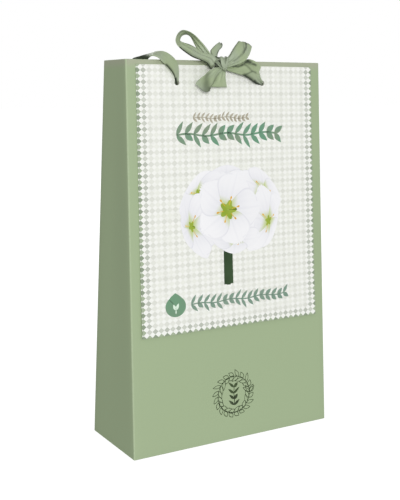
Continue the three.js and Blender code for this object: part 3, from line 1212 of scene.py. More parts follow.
@dataclass(frozen=True)
class Garland:
    """A printed sprig of paired leaves along a line, in millimetres."""

    name: str
    ink: Ink
    path: Line
    spacing: float
    leaf_length: float
    leaf_width: float
    spread: float
    stem_width: float
    style: Leaf = Leaf.FILLED
    wobble: tuple[float, float] = (0.8, 1.2)
    seed: int = 3

    def tree(self) -> bpy.types.NodeTree:
        """Builds the tree that sets a pair of leaves at each step along the line.

        Returns:
            The tree. Its geometry is the line as a mesh of edges, in the plane of the print.
        """
        numbers = ("Spacing", "Leaf Length", "Leaf Width", "Spread", "Stem Width")
        graph = GeometryTree(self.name, numbers, "Seed")
        given = graph.given
        line = graph.get("GeometryNodeMeshToCurve", 0, {0: given["Geometry"]})
        inputs = {"Curve": line, "Length": given["Spacing"]}
        steps = graph.get("GeometryNodeResampleCurve", 0, inputs, mode="LENGTH")
        leaf = self.filled_leaf(graph) if self.style is Leaf.FILLED else self.lined_leaf(graph)
        shapes = [self.stem(graph, line)]
        inputs = {"Vector": graph.get("GeometryNodeInputTangent")}
        along = graph.get("FunctionNodeAlignRotationToVector", 0, inputs, axis="X", pivot_axis="Z")
        for k, side in enumerate((1.0, -1.0)):
            inputs = {"Min": self.wobble[0], "Max": self.wobble[1], "Seed": given["Seed"] + float(k)}
            wobble = graph.get("FunctionNodeRandomValue", "Value", inputs, data_type="FLOAT")
            angle = graph.vector(z=given["Spread"] * wobble * side)
            turn = graph.get("FunctionNodeEulerToRotation", 0, {0: angle})
            inputs = {"Rotation": along, "Rotate By": turn}
            turned = graph.get("FunctionNodeRotateRotation", 0, inputs, rotation_space="LOCAL")
            size = graph.vector(wobble, 2.0 - wobble, 1.0)
            inputs = {"Points": steps, "Instance": leaf, "Rotation": turned, "Scale": size}
            shapes.append(graph.get("GeometryNodeInstanceOnPoints", 0, inputs))
        return graph.end(graph.joined(shapes))

    @staticmethod
    def leaf_edge(graph: GeometryTree, share: Term, side: Any) -> Term:
        """Gives the point of a leaf's outline at a share of its length, side 1 or -1 of its rib."""
        swell = graph.maths("SINE", (share**0.8) * math.pi) * side
        return graph.vector(share * graph.given["Leaf Length"], swell * graph.given["Leaf Width"] * 0.5)

    def filled_leaf(self, graph: GeometryTree) -> Term:
        """Makes a solid leaf that starts at its own origin and points along X.

        Args:
            graph: The tree.

        Returns:
            The leaf.
        """
        inputs = {"Size X": 1.0, "Size Y": 2.0, "Vertices X": 9, "Vertices Y": 3}
        grid = graph.get("GeometryNodeMeshGrid", "Mesh", inputs)
        share, side = graph.axis(graph.spot(), "X") + 0.5, graph.axis(graph.spot(), "Y")
        return graph.moved(grid, self.leaf_edge(graph, share, side))

    def lined_leaf(self, graph: GeometryTree) -> Term:
        """Makes the outline of a leaf in lines of the stem's width.

        Args:
            graph: The tree.

        Returns:
            The leaf.
        """
        strips = []
        for side in (1.0, -1.0):
            straight = graph.get("GeometryNodeCurvePrimitiveLine", 0, {"Start": (0, 0, 0), "End": (1, 0, 0)})
            fine = graph.get("GeometryNodeResampleCurve", 0, {"Curve": straight, "Count": 13}, mode="COUNT")
            bent = graph.moved(fine, self.leaf_edge(graph, graph.axis(graph.spot(), "X"), side))
            strips.append(self.stem(graph, bent))
        return graph.joined(strips)

    @staticmethod
    def stem(graph: GeometryTree, line: Term) -> Term:
        """Makes a flat line of the stem's width along a curve.

        Args:
            graph: The tree.
            line: The curve.

        Returns:
            The flat line.
        """
        flat = graph.get("GeometryNodeSetCurveNormal", 0, {"Curve": line}, mode="Z_UP")
        half = graph.given["Stem Width"] * 0.5
        ends = {"Start": graph.vector(-half), "End": graph.vector(half)}
        profile = graph.get("GeometryNodeCurvePrimitiveLine", 0, ends)
        return graph.get("GeometryNodeCurveToMesh", 0, {"Curve": flat, "Profile Curve": profile})

    def flat_mesh(self) -> bpy.types.Mesh:
        """Grows the garland in the plane of the print.

        Returns:
            The garland as a flat mesh in millimetres.
        """
        line = bpy.data.meshes.new(self.name + "_line")
        points = [(x, y, 0.0) for x, y in self.path]
        line.from_pydata(points, [(i, i + 1) for i in range(len(points) - 1)], [])
        sizes = {
            "Spacing": self.spacing,
            "Leaf Length": self.leaf_length,
            "Leaf Width": self.leaf_width,
            "Spread": math.radians(self.spread),
            "Stem Width": self.stem_width,
            "Seed": self.seed,
            "Material": self.ink.material(),
        }
        return grow(self.name, line, self.tree(), sizes)


@dataclass(frozen=True)
class Blossom:
    """One round-petalled flower of the printed posy, in millimetres and degrees."""

    along: float
    up: float
    radius: float
    turn: float
    tilt: float
    facing: float
    level: int


def turned(x: Any, y: Any, angle: float) -> tuple[Any, Any]:
    """Turns points about the origin by an angle in radians."""
    return x * math.cos(angle) - y * math.sin(angle), x * math.sin(angle) + y * math.cos(angle)


def ruling(rows: int, columns: int) -> tuple[np.ndarray, np.ndarray]:
    """Gives a grid's shares from 0 to 1 down its rows, and from -1 to 1 across its columns."""
    across, share = np.meshgrid(np.linspace(-1, 1, columns), np.linspace(0, 1, rows))
    return share, across


@dataclass
class Prints:
    """Everything printed: what lies on the card, and the wreath on the bag below it."""

    card: FaceCard
    panel: Panel
    film: float = 0.012
    flat_merge: float = 0.001
    level: float = 0.05
    petal_count: int = 5
    petal_tones: tuple[float, float] = (-0.04, 0.14)
    turn_tone: float = 0.05
    front_eye: tuple[float, int] = (0.21, 6)
    side_eye: tuple[float, int] = (0.13, 3)
    cup: float = 0.42
    cup_centre: float = 0.25
    seed: int = 7

    @staticmethod
    def wave(left: float, right: float, up: float, rise: float, waves: float) -> Line:
        """Draws a gently waving line.

        Args:
            left: Its left end.
            right: Its right end.
            up: Its height.
            rise: How far it waves above and below that.
            waves: How many waves it has.

        Returns:
            The line's points.
        """
        share = np.linspace(0, 1, 49)
        heights = up + rise * np.sin(2 * math.pi * waves * share)
        return tuple(zip(left + (right - left) * share, heights))

    def lay(self, garland: Garland, on_bag: bool = False) -> None:
        """Lays a garland on its surface as a closed film, and seats it.

        Args:
            garland: The garland.
            on_bag: Whether it is printed on the bag's front panel instead of the card.
        """
        mesh = garland.flat_mesh()
        tidy_mesh(mesh, merge=self.flat_merge, turn_out=False)
        flat = np.zeros(len(mesh.vertices) * 3)
        mesh.vertices.foreach_get("co", flat)
        along, up, out = flat.reshape(-1, 3).T
        place = self.panel.at if on_bag else self.card.on
        mesh.vertices.foreach_set("co", place(along, up, out + self.level).ravel())
        piece = new_piece(garland.name, mesh)
        modify(piece, "SOLIDIFY", thickness=self.film * MM, offset=-1.0)
        tidy_mesh(piece.data, merge=FILM_MERGE)
        seat(piece, "printed_card")

    @staticmethod
    def circle(along: float, up: float, radius: float) -> Line:
        """Draws a ring that closes on itself."""
        angles = np.linspace(0, 2 * math.pi, 61)
        return tuple(zip(along + radius * np.cos(angles), up + radius * np.sin(angles)))

    def build(self) -> None:
        """Makes every print."""
        small, large = self.wave(-40, 18, -53, 0.8, 2.0), self.wave(-58, 51, -68.5, 1.2, 2.5)
        lower, ring = self.wave(-47, 58, -226.6, 0.8, 3.0), self.circle(-0.8, -320.4, 18.0)
        sprig = ((-0.5, -331.0), (-0.2, -325.0), (-0.8, -319.0), (-0.4, -313.5))
        self.lay(Garland("small_garland", INK_GREY, small, 4.3, 5.6, 2.3, 44.0, 0.8))
        self.lay(Garland("large_garland", INK_GREEN, large, 8.6, 12.8, 5.2, 46.0, 1.8))
        self.lay(Garland("lower_garland", INK_SLATE, lower, 6.9, 9.2, 3.7, 46.0, 1.2))
        self.lay(Garland("bag_wreath", INK_LINE, ring, 5.6, 7.6, 3.6, 40.0, 0.6, Leaf.LINED), on_bag=True)
        self.lay(Garland("bag_sprig", INK_LINE, sprig, 4.4, 7.4, 3.0, 44.0, 0.8), on_bag=True)
        self.badge()
        self.posy()

    def badge(self) -> None:
        """Makes the drop-shaped badge with a sprout on it."""
        centre, radii, apex = np.array([-63.5, -226.5]), np.array([10.8, 9.7]), np.array([-63.6, -213.9])
        shoulder = math.radians(38)
        angles = np.linspace(math.pi / 2 + shoulder, 2.5 * math.pi - shoulder, 57)
        body = centre + radii * np.stack([np.cos(angles), np.sin(angles)], -1)
        rise = np.linspace(0, 1, 9)[1:, None]
        pull = 4.0 * (rise * (1 - rise)) * 0.45 * np.array([1.0, 0.3])
        right = body[-1] + (apex - body[-1]) * rise + pull
        left = apex + (body[0] - apex) * rise + pull * (-1.0, 1.0)
        rim = np.vstack([body, right, left])
        grid = np.stack([centre + (rim - centre) * share for share in (0.02, 0.5, 1.0)])
        self.film_piece("badge", [(grid, 1.0, {})], INK_BADGE)
        fork, foot = (-63.4, -229.4), (-63.5, -233.4)
        blades = ((fork, 6.4, 3.0, 52, 0.18), (fork, 5.6, 3.0, 128, -0.18), (foot, 4.6, 1.2, 88, 0.0))
        self.film_piece("badge_sprout", [(self.blade(*blade), 2.0, {}) for blade in blades], INK_PALE)

    @staticmethod
    def blade(
        foot: tuple[float, float], length: float, width: float, lean: float, bend: float
    ) -> np.ndarray:
        """Draws a leaf blade as a grid of points in the plane of the print.

        Args:
            foot: Where it starts.
            length: Its length.
            width: Its greatest width.
            lean: Its direction in degrees, 90 pointing up.
            bend: How far it curves, as a share of its length.

        Returns:
            The grid, rows along the blade by columns across it by 2.
        """
        share, across = ruling(15, 5)
        half = width / 2 * np.sin(np.pi * share**0.75) ** 0.8
        points = turned(share * length, across * half + bend * length * share**2, math.radians(lean))
        return np.stack(points, -1) + foot

    def film_piece(self, name: str, grids: Iterable[Film], finish: Finish) -> None:
        """Makes one piece of closed films from grids in the plane of the print.

        Args:
            name: The piece's name.
            grids: For each film its grid, its level in layers (a number or a grid) and its values.
            finish: Its finish.
        """
        draft = Draft()
        for grid, level, values in grids:
            out = np.broadcast_to(np.asarray(level, float) * self.level, grid.shape[:2])
            along, up = grid[..., 0], grid[..., 1]
            draft.sheet(self.card.on(along, up, out), self.card.on(along, up, out - self.film), **values)
        piece = new_piece(name, draft.mesh(name, (finish.material(),), merge=FILM_MERGE))
        seat(piece, "printed_card")

    def petal(self, blossom: Blossom, number: int, share: np.ndarray, across: np.ndarray) -> np.ndarray:
        """Draws one petal of a blossom in the plane of the print.

        Args:
            blossom: The blossom.
            number: Which petal it is.
            share: The grid's shares along the petal.
            across: The grid's places from -1 to 1 across it.

        Returns:
            The grid, rows by columns by 2.
        """
        half = 0.62 * np.sin(np.pi * share**0.85 * 0.94 + 0.09) ** 0.62 * (0.3 + 0.7 * share**0.5)
        length = share * (1.0 - 0.10 * across**2 * share**4 + 0.035 * np.cos(5 * np.pi * across) * share**6)
        wave = 1.0 + 0.05 * np.sin(7.0 * share + 1.7 * number + blossom.turn)
        turn = math.radians(blossom.turn + 360 * number / self.petal_count)
        return self.lean(blossom, *turned(length, across * half * wave, turn))

    def lean(self, blossom: Blossom, x: np.ndarray, y: np.ndarray) -> np.ndarray:
        """Foreshortens a blossom's own points by the way that it faces.

        Args:
            blossom: The blossom.
            x: The points' places to the right of its eye, in its radii.
            y: Their places above its eye.

        Returns:
            The points in the plane of the print, along and up in the last axis.
        """
        facing, tilt = math.radians(blossom.facing), math.radians(blossom.tilt)
        ahead, aside = turned(x, y, -facing)
        ahead = ahead * math.cos(tilt) - (self.cup * (x**2 + y**2) - self.cup_centre) * math.sin(tilt)
        x, y = turned(ahead, aside, facing)
        return np.stack([blossom.along + blossom.radius * x, blossom.up + blossom.radius * y], -1)

    def posy(self) -> None:
        """Makes the printed posy: its stems, round blossoms and their eyes."""
        blossoms = (
            Blossom(-5.0, -119.0, 34.0, 18, 42, 92, 0),
            Blossom(-32.0, -127.0, 34.0, 40, 46, 140, 1),
            Blossom(32.0, -127.0, 34.0, 5, 44, 40, 1),
            Blossom(-38.0, -152.0, 34.0, 60, 50, 192, 2),
            Blossom(36.0, -152.0, 34.0, 22, 50, -14, 2),
            Blossom(3.0, -163.0, 30.0, 50, 40, 268, 3),
            Blossom(-3.6, -139.0, 37.0, 72, 8, 250, 4),
        )
        stems = []
        for left, right, foot in ((-10.0, -6.4, -211.4), (-3.4, 0.2, -211.0), (-7.0, -2.8, -212.0)):
            corners = np.array([[[left, foot], [left + 0.3, -150.0]], [[right, foot], [right - 0.3, -150.0]]])
            stems.append((corners, 1.0 + 0.4 * len(stems), {}))
        self.film_piece("posy_stems", stems, LEAF_DARK)
        share, across = ruling(17, 11)
        draw = np.random.default_rng(self.seed)
        petals, eyes, anthers = [], [], []
        for blossom in blossoms:
            base = 2.0 + blossom.level
            for number in range(self.petal_count):
                level = base + 0.35 * across * share + 0.3 * share
                tone = float(draw.uniform(*self.petal_tones))
                tone += self.turn_tone * max(0.0, math.sin(math.radians(360 / self.petal_count * number)))
                values = {"along": share, "across": across, "tone": np.float64(tone)}
                petals.append((self.petal(blossom, number, share, across), level, values))
            eye_size, stamens = self.front_eye if blossom.level == 4 else self.side_eye
            eyes.append((self.eye(blossom, eye_size), base + 0.75, {}))
            for k in range(stamens):
                anthers += self.stamen(blossom, 360 * k / stamens + blossom.turn, base + 0.85)
        self.film_piece("posy_petals", petals, PETALS)
        self.film_piece("posy_eyes", eyes, EYE_GREEN)
        self.film_piece("posy_anthers", anthers, ANTHERS)

    def eye(self, blossom: Blossom, size: float) -> np.ndarray:
        """Draws a blossom's green eye as a small star.

        Args:
            blossom: The blossom.
            size: The eye's radius, as a share of the blossom's.

        Returns:
            The grid, rings by points by 2.
        """
        angles = np.linspace(0, 2 * math.pi, 41)
        reach = size * (1 + 0.28 * np.cos(self.petal_count * (angles - math.radians(blossom.turn))))
        rings = np.array([0.05, 0.6, 1.0])[:, None]
        return self.lean(blossom, rings * reach * np.cos(angles), rings * reach * np.sin(angles))

    def stamen(self, blossom: Blossom, angle: float, level: float) -> list[Film]:
        """Draws one stamen's thread and the anther at its tip.

        Args:
            blossom: The blossom.
            angle: The stamen's direction in degrees.
            level: The thread's level in layers.

        Returns:
            Both films.
        """
        share, across = ruling(5, 3)
        films = []
        parts = ((0.12, 0.3, 0.008, 0.2), (0.28, 0.36, 0.026, 0.6))
        for k, (start, end, width, roundness) in enumerate(parts):
            half = width * np.sin(np.pi * np.clip(share, 0.06, 0.94)) ** roundness
            points = turned(start + (end - start) * share, across * half, math.radians(angle))
            films.append((self.lean(blossom, *points), level + 0.1 * k, {}))
        return films


# ---- The ribbon ----

Stations = tuple[tuple[Panel, tuple[float, ...]], ...]


@dataclass(frozen=True)
class Mark:
    """A line on a strip: a fold in it, painted shade along it, or both. Sizes are in millimetres.

    Its points are (station, share across), and a crisp line has a clear border.
    """

    points: Line
    width: float
    depth: float = 0.0
    # How strongly the line is painted dark, as painted shade.
    shade: float = 0.0
    crisp: bool = False

    @property
    def falloff(self) -> int:
        """The power by which the line's strength falls with the distance from it."""
        return 5 if self.crisp else 2

    def weight(
        self, station: np.ndarray, reach: np.ndarray, chord: np.ndarray, across: np.ndarray
    ) -> np.ndarray:
        """Gives the line's strength over the strip.

        Args:
            station: Each row's place among the stations.
            reach: Each row's distance along the strip.
            chord: Each row's width.
            across: Each point's distance across the strip.

        Returns:
            The strength of each point, 1 on the line.
        """
        stations, shares = np.array(self.points).T
        width = float(np.interp(stations, station, chord).mean())
        line = np.stack([np.interp(stations, station, reach), shares * width], -1)
        share = across / chord[:, None]
        spots = np.stack([np.broadcast_to(reach[:, None], across.shape), share * width], -1)
        strength = np.zeros(across.shape)
        for start, end in zip(line, line[1:]):
            way = end - start
            along = np.clip((spots - start) @ way / max(way @ way, TINY), 0, 1)
            away = np.linalg.norm(spots - start - along[..., None] * way, axis=-1)
            strength = np.maximum(strength, np.exp(-((away / self.width) ** self.falloff)))
        return strength


@dataclass(frozen=True)
class Strip:
    """One stretch of the ribbon: the stations of its two edges, and how it lies between them.

    Where its edges come nearer than the ribbon's width, the rest of it is folded under along both edges
    (tuck 1 or -1 for the side), and what is left over lies in pleats. Between two stations the side away from
    the light is painted dark as painted shade, by a strength. Its last end is cut to a curve that stands out
    by cut.
    """

    stations: Stations
    marks: tuple[Mark, ...] = ()
    cup: float = 0.0
    tuck: int = 0
    gather: float = 0.6
    pleats: float = 2.5
    phase: float = 0.0
    underside_shade: tuple[float, float, float] = (0.0, 0.0, 0.0)
    cut: float = 0.0


@dataclass
class Ribbon:
    """The one satin ribbon, laced through the holes and tied, in millimetres."""

    front: Panel
    back: Panel
    width: float = 15.0
    thickness: float = 0.35
    flat_length: float = 0.76
    hole_up: float = -20.6
    narrow: float = 1.6
    bend: float = 0.45
    bend_steps: int = 7
    tuck_limits: tuple[float, float] = (0.1, 0.8)
    tuck_shares: tuple[float, ...] = (1.0, 0.66, 0.33)
    edge_shares: tuple[float, ...] = (0.0, 0.03, 0.06)
    middle_start: float = 0.12
    middle_columns: int = 17
    steps: int = 6
    cut_reach: float = 7.0
    knot: tuple[float, float, float] = (-8.4, -3.3, 6.8)
    wrap_radii: tuple[float, float] = (5.6, 5.4)
    wrap_form: tuple[float, float, float, float] = (4.2, 1.8, 1.3, 0.75)
    wrap_lean: float = 3.45
    core_shift: tuple[float, float, float] = (-3.6, 0.0, -0.6)
    core_radii: tuple[float, float, float] = (7.4, 4.6, 3.5)
    core_wall: float = 0.86
    core_creases: int = 9
    crease_depth: float = 0.06
    core_shade: float = 0.9

    @staticmethod
    def on(panel: Panel, *rows: tuple[float, ...]) -> Stations:
        """Marks stations as lying on a panel. Each is (along, up, out) of one edge, then of the other."""
        return tuple((panel, row) for row in rows)

    def laced(self) -> tuple[Strip, Strip, Strip]:
        """Lists the run from the knot to the back's left hole, over the edge to the front's, and up again.

        Returns:
            The strand from the knot out to the back, the one over the edge, and the short loop.
        """
        top, low = self.hole_up + self.narrow, self.hole_up - self.narrow
        right = self.on(
            self.front,
            (-10, -4.8, 7, -9, -8, 7), (-4.8, -4, 7, -4.1, -9.8, 7),
            (2.4, -2.9, 7.5, 0.7, -11.2, 7.5), (10.1, -0.7, 8, 7, -12.8, 7.5),
            (17.1, 1.4, 7.8, 12.9, -14.1, 7), (26.9, -0.6, 6.5, 19.9, -17.1, 6),
            (33.2, -5.8, 5.5, 24.6, -19.7, 5), (31.5, -9, 5, 27.2, -21, 4.4),
            (32.8, -12.6, 4.4, 30, -21.7, 3.6), (35.4, -17.2, 3.2, 33.7, -22.2, 2.4),
            (39.2, top - 0.3, 0.6, 36.4, low - 0.2, 0.2), (38, top, -3.5, 37, low, -3.5),
            (38, -17, -10, 37, -28.5, -10), (37.5, -18, -22, 37.5, -32.5, -22),
            (37, -17, -34, 38, -28.5, -34),
        )
        right += self.on(
            self.back,
            (37, top, -4, 38, low, -4), (37.5, top, -0.8, 37.5, low, -0.8),
        )
        behind = self.on(
            self.back,
            (36, top + 0.3, 1.4, 36, low - 0.3, 1.4), (28, -14.2, 1.1, 28, -27.1, 1.1),
            (10, -13.3, 0.9, 10, -27.9, 0.9), (-28, -13.3, 0.9, -28, -27.9, 0.9),
            (-46.5, -14.2, 1.1, -46.5, -27.1, 1.1), (-54.5, top + 0.3, 1.4, -54.5, low - 0.3, 1.4),
        )
        left = self.on(
            self.back,
            (-56, top, -0.8, -56, low, -0.8), (-57, top, -4, -55, low, -4),
        )
        left += self.on(
            self.front,
            (-69, -10, -38, -58, -17.5, -36), (-82, -5, -34, -69, -9, -28.5),
            (-89, -1.6, -27, -78.5, -4, -17), (-90, 1.8, -20, -81.9, -1.5, -9),
            (-85.9, 3.9, -13, -82.7, 1.2, -3.8), (-78.7, 6.2, -6, -81.7, 3.6, 0.8),
            (-75.3, 7.4, -1.5, -79.8, 3.2, 3.6), (-69.5, 7.3, 2, -76.5, 1.2, 5.6),
            (-63.1, 3.7, 4, -71.9, -3.1, 6), (-56.6, -3.1, 4, -64.8, -9.6, 5.5),
            (-55.2, -10.7, 3.6, -60.5, -14.5, 4.2), (-54.9, -16.5, 2.6, -58.9, -17.8, 2.6),
            (-55, -19.7, 1.7, -57.8, -20.6, 1.7), (-55.2, -21.7, 0.9, -56.9, -21.9, 0.9),
            (-54.9, low - 0.1, 0.2, -56.6, low - 0.3, 0.1),
        )
        middle = self.on(
            self.front,
            (-55.3, top, 0.2, -56.7, low, 0.1), (-55.5, top, -3.2, -55.5, low, -3.2),
            (-49, -13, -3.6, -44, -25, -3.6), (-34, -6.5, -3.6, -28, -19.5, -3.6),
            (-24, -1, -4, -16.5, -13, -4), (-18.5, 2.5, -5.2, -9.5, -4.5, -5),
            (-13.5, 8, -6, -8.5, 5.5, -6), (-10.5, 13.5, -5.6, -6, 11.5, -5.6),
            (-8.8, 16.9, -3, -5.1, 17.2, -3.2), (-11.9, 15.9, 0.5, -6, 15, 0.5),
            (-15.7, 13.5, 2, -7.7, 12.6, 2), (-18.9, 11.1, 3, -10.9, 10, 3),
            (-21.3, 8.4, 4, -13.9, 7, 4), (-20.3, 3.8, 5, -15, 2.7, 5),
            (-16.3, -0.5, 6, -13.5, -0.4, 6),
        )
        return (
            Strip(right + behind, self.outer_marks()),
            # The strand's underside where it rises out of the bag is painted dark, as painted shade.
            Strip(left, self.inner_marks(), tuck=-1, pleats=1.0, gather=0.3, underside_shade=(1.0, 6.6, 0.93)),
            Strip(middle, self.short_marks(), tuck=1, pleats=1.0, gather=0.3),
        )

    def outer_marks(self) -> tuple[Mark, ...]:
        """Lists the folds and painted shade of the strand to the right hole.

        Returns:
            The marks.
        """
        return (
            Mark(((3.5, 0.19), (3.93, 0.13), (4.38, 0.17)), 1.6, -1.0, 0.88),
            Mark(((3.93, 0.01), (3.93, 0.12)), 1.5, -0.3, 0.85),
            Mark(((4.68, 0.2), (5.12, 0.17)), 0.95, -0.5, 0.85),
            Mark(((1.4, 0.27), (2.6, 0.37), (3.15, 0.3)), 0.9, -0.7, 0.78),
            Mark(((3.15, 0.3), (3.6, 0.33), (4.5, 0.5), (4.9, 0.58)), 0.65, -0.6, 0.6),
            Mark(((3.45, 0.24), (4.8, 0.38), (5.7, 0.35)), 1.0, 0.8),
            Mark(((4.1, 0.92), (4.6, 0.73), (4.95, 0.56), (5.6, 0.5)), 0.7, -0.6, 0.6),
            Mark(((0.5, 1.0), (4.2, 1.0)), 0.5, 0.0, 0.5),
            Mark(((4.0, 1.0), (7.0, 1.0)), 2.0, 0.0, 1.0),
            Mark(((6.6, 1.0), (10.4, 1.0)), 1.9, 0.0, 1.0, crisp=True),
            Mark(((10.1, 0.6), (12.0, 0.5)), 2.2, 0.0, 0.97, crisp=True),
        )

    def inner_marks(self) -> tuple[Mark, ...]:
        """Lists the painted shade along the strand to the left hole.

        Returns:
            The marks.
        """
        return (
            Mark(((10.3, 1.0), (13.0, 1.0)), 1.0, 0.0, 0.97),
            Mark(((12.8, 1.0), (15.4, 1.0)), 1.2, 0.0, 1.0, crisp=True),
            Mark(((14.8, 0.6), (16.0, 0.5)), 2.2, 0.0, 0.92),
        )

    def short_marks(self) -> tuple[Mark, ...]:
        """Lists the folds and painted shade of the short loop beside the knot.

        Returns:
            The marks.
        """
        return (
            Mark(((8.2, 0.0), (8.4, 1.0)), 0.9, 0.0, 0.6),
            Mark(((8.4, 0.0), (11.6, 0.0)), 0.5, 0.0, 0.5),
            Mark(((8.4, 1.0), (12.4, 1.0)), 0.7, 0.0, 0.6),
            Mark(((8.7, 0.75), (9.1, 0.8)), 1.2, -0.3, 0.5),
            Mark(((11.9, 0.0), (12.8, 0.1)), 0.7, 0.0, 0.6),
        )

    def left_loop(self) -> Strip:
        """Lists the large open loop, which flares towards the front: its outer edge, then its inner one.

        Returns:
            The loop.
        """
        stations = self.on(
            self.front,
            (-13.3, 1.1, 5, -14.5, -3, 5), (-19.5, 3.2, 6, -19.2, -0.8, 2.5),
            (-23.5, 8.3, 4.5, -25.6, 3.7, -1.5), (-27.2, 13.2, 3.5, -29.8, 10.1, -5),
            (-31.8, 17.8, 3, -32.1, 15.4, -7), (-36.7, 21.8, 3.5, -34, 19.9, -8),
            (-42.6, 25, 4, -36.3, 22.7, -8), (-48.5, 26.3, 5, -39.9, 23.9, -7),
            (-53.1, 25.9, 6.5, -44.6, 23.2, -5), (-57.5, 23.2, 8, -48.4, 21.4, -2.5),
            (-60.5, 19.5, 9.5, -50.8, 18.9, -0.5), (-61.7, 16.2, 10.5, -51.8, 17.2, 1),
            (-61.2, 12.9, 11.5, -50.9, 16.2, 2), (-58.3, 9.6, 12, -48.8, 15.1, 4),
            (-52.5, 5.6, 12, -44.5, 13.8, 5), (-44.8, 1.6, 11.5, -38.4, 11.1, 5.5),
            (-36.1, -0.9, 10.5, -31.4, 7.1, 5.5), (-30.9, -2.7, 10, -25.3, 5.8, 6),
            (-28.4, -4.4, 9.5, -19.6, 4.2, 6.5), (-26, -7.2, 8.6, -17.1, 0.4, 7.5),
            (-22, -8, 6, -15.7, -2, 5.5),
        )
        marks = (
            Mark(((13.0, 0.0), (20.0, 0.0)), 1.0, 0.0, 1.0, crisp=True),
            Mark(((13.8, 0.06), (17.5, 0.12)), 2.0, 0.0, 0.25),
            Mark(((11.4, 1.0), (12.6, 0.92), (14.2, 0.9)), 0.6, 0.0, 0.45),
            Mark(((7.4, 0.06), (9.6, 0.1)), 1.3, 0.0, 0.22),
            Mark(((3.4, 0.75), (4.6, 0.7), (5.6, 0.92)), 0.8, -0.3, 0.3),
            Mark(((18.0, 0.0), (19.4, 0.04)), 1.8, 0.0, 1.0),
        )
        return Strip(stations, marks, cup=0.5)

    def right_loop(self) -> Strip:
        """Lists the loop that stands up behind the knot, folded flat at its top.

        Returns:
            The loop.
        """
        stations = self.on(
            self.front,
            (-11, -2, 8.5, -9, -7, 8.5), (-5, 3.5, 10, 3.5, -4, 10),
            (-0.5, 10.5, 10.5, 14.1, 1.3, 10.5), (4, 15.5, 9.3, 19.5, 9, 9.3),
            (7.8, 18, 6.5, 22.2, 13.3, 6.5), (8.8, 17.2, 3.2, 22.3, 12.8, 3.2),
            (5.3, 12.1, 1.4, 17.3, 7, 1.4), (-0.7, 4.7, 2.5, 6, -1.5, 2.5),
            (-9, -2, 4.5, -7.5, -5.5, 4.5),
        )
        marks = (
            Mark(((3.7, 0.51), (3.15, 0.61), (2.4, 0.6)), 1.1, -1.1, 0.62),
            Mark(((4.3, 0.42), (4.0, 0.47), (3.6, 0.53)), 0.9, 0.0, 0.5),
            Mark(((4.4, 0.45), (4.5, 0.75)), 3.4, -1.7),
            Mark(((2.4, 0.6), (1.6, 0.55), (1.0, 0.58)), 0.8, -0.8, 0.45),
            Mark(((3.9, 0.05), (3.85, 0.3), (3.05, 0.45), (2.65, 0.58)), 0.6, -0.5, 0.35),
            Mark(((4.0, 0.62), (3.1, 0.72), (2.2, 0.68)), 0.7, 0.5),
            Mark(((0.7, 0.8), (1.4, 0.88), (2.35, 0.95)), 0.6, 0.5),
            Mark(((0.5, 0.0), (4.2, 0.0)), 0.6, 0.0, 0.7),
            Mark(((4.0, 0.0), (4.1, 1.0)), 0.6, 0.0, 0.5),
        )
        return Strip(stations, marks)

    def tails(self) -> tuple[Strip, Strip]:
        """Lists the two cut ends.

        Returns:
            The left tail and the middle one.
        """
        left = self.on(
            self.front,
            (-13.7, -6.5, 8.5, -11.1, -8.8, 8.5), (-22.3, -7.8, 9, -13.8, -10.1, 9),
            (-29.8, -12.7, 9.5, -18.8, -15.4, 9.5), (-36.3, -17, 10, -22.6, -21.2, 10),
            (-40.2, -19.9, 10, -25.2, -24.7, 10), (-41.8, -22.5, 10, -26.8, -28.5, 10),
        )
        middle = self.on(
            self.front,
            (-12, -3.5, 5.5, -8.5, -4, 5.5), (-14.5, -9, 6, -7, -9.2, 6),
            (-18.5, -16, 6.5, -7.3, -16.3, 6.5), (-22.8, -24.7, 6.5, -6, -25, 6.5),
        )
        left_marks = (
            Mark(((2.0, 0.15), (2.8, 0.4), (3.6, 0.66), (4.6, 0.85)), 3.0, -0.3, 0.47),
            Mark(((1.0, 0.7), (2.0, 0.84), (3.2, 0.97)), 1.0, 0.35, 0.2),
            Mark(((4.2, 0.9), (4.9, 0.97)), 1.0, 0.0, 0.45),
            Mark(((1.4, 0.98), (3.6, 1.0), (5.0, 1.0)), 0.8, 0.0, 0.5),
            Mark(((3.8, 0.55), (5.0, 0.7)), 3.5, 0.0, 0.25),
            Mark(((5.0, 0.3), (5.0, 1.0)), 0.5, 0.0, 0.35),
        )
        middle_marks = (
            Mark(((3.0, 0.0), (3.0, 1.0)), 0.4, 0.0, 0.3),
            Mark(((0.8, 0.0), (2.4, 0.06)), 0.9, 0.0, 0.4),
        )
        return (
            Strip(left, left_marks, cup=-0.5, gather=0.2, cut=2.9),
            Strip(middle, middle_marks, cup=0.4, gather=0.3),
        )

    def wrap(self) -> Strip:
        """Makes the stretch that goes round the knot from behind its top to behind its foot.

        Returns:
            The stretch, widest at the knot's top and in front.
        """
        along, up, out = self.knot
        top, narrows, curve, swell = self.wrap_form
        rows = []
        for degrees in range(-70, 251, 20):
            angle = math.radians(degrees)
            fall, front = (1 - math.cos(angle)) / 2, max(math.sin(angle), 0.0)
            half = top - narrows * fall - curve * fall**2 + swell * front
            centre = along - self.wrap_lean * front
            spot = (up + self.wrap_radii[0] * math.cos(angle), out + self.wrap_radii[1] * math.sin(angle))
            rows.append((centre - half, *spot, centre + half, *spot))
        marks = (
            Mark(((3.5, 0.0), (12.5, 0.0)), 0.7, 0.0, 0.7),
            Mark(((4.0, 0.1), (7.0, 0.2)), 3.5, 0.0, 0.22),
            Mark(((4.3, 0.0), (4.3, 1.0)), 0.5, 0.0, 0.6),
            Mark(((5.4, 0.72), (7.6, 0.78)), 0.7, -0.6, 0.8),
            Mark(((9.0, 1.0), (12.5, 1.0)), 0.6, 0.0, 0.5),
        )
        return Strip(self.on(self.front, *rows), marks, cup=0.5, tuck=-1, pleats=2.0, phase=0.25)

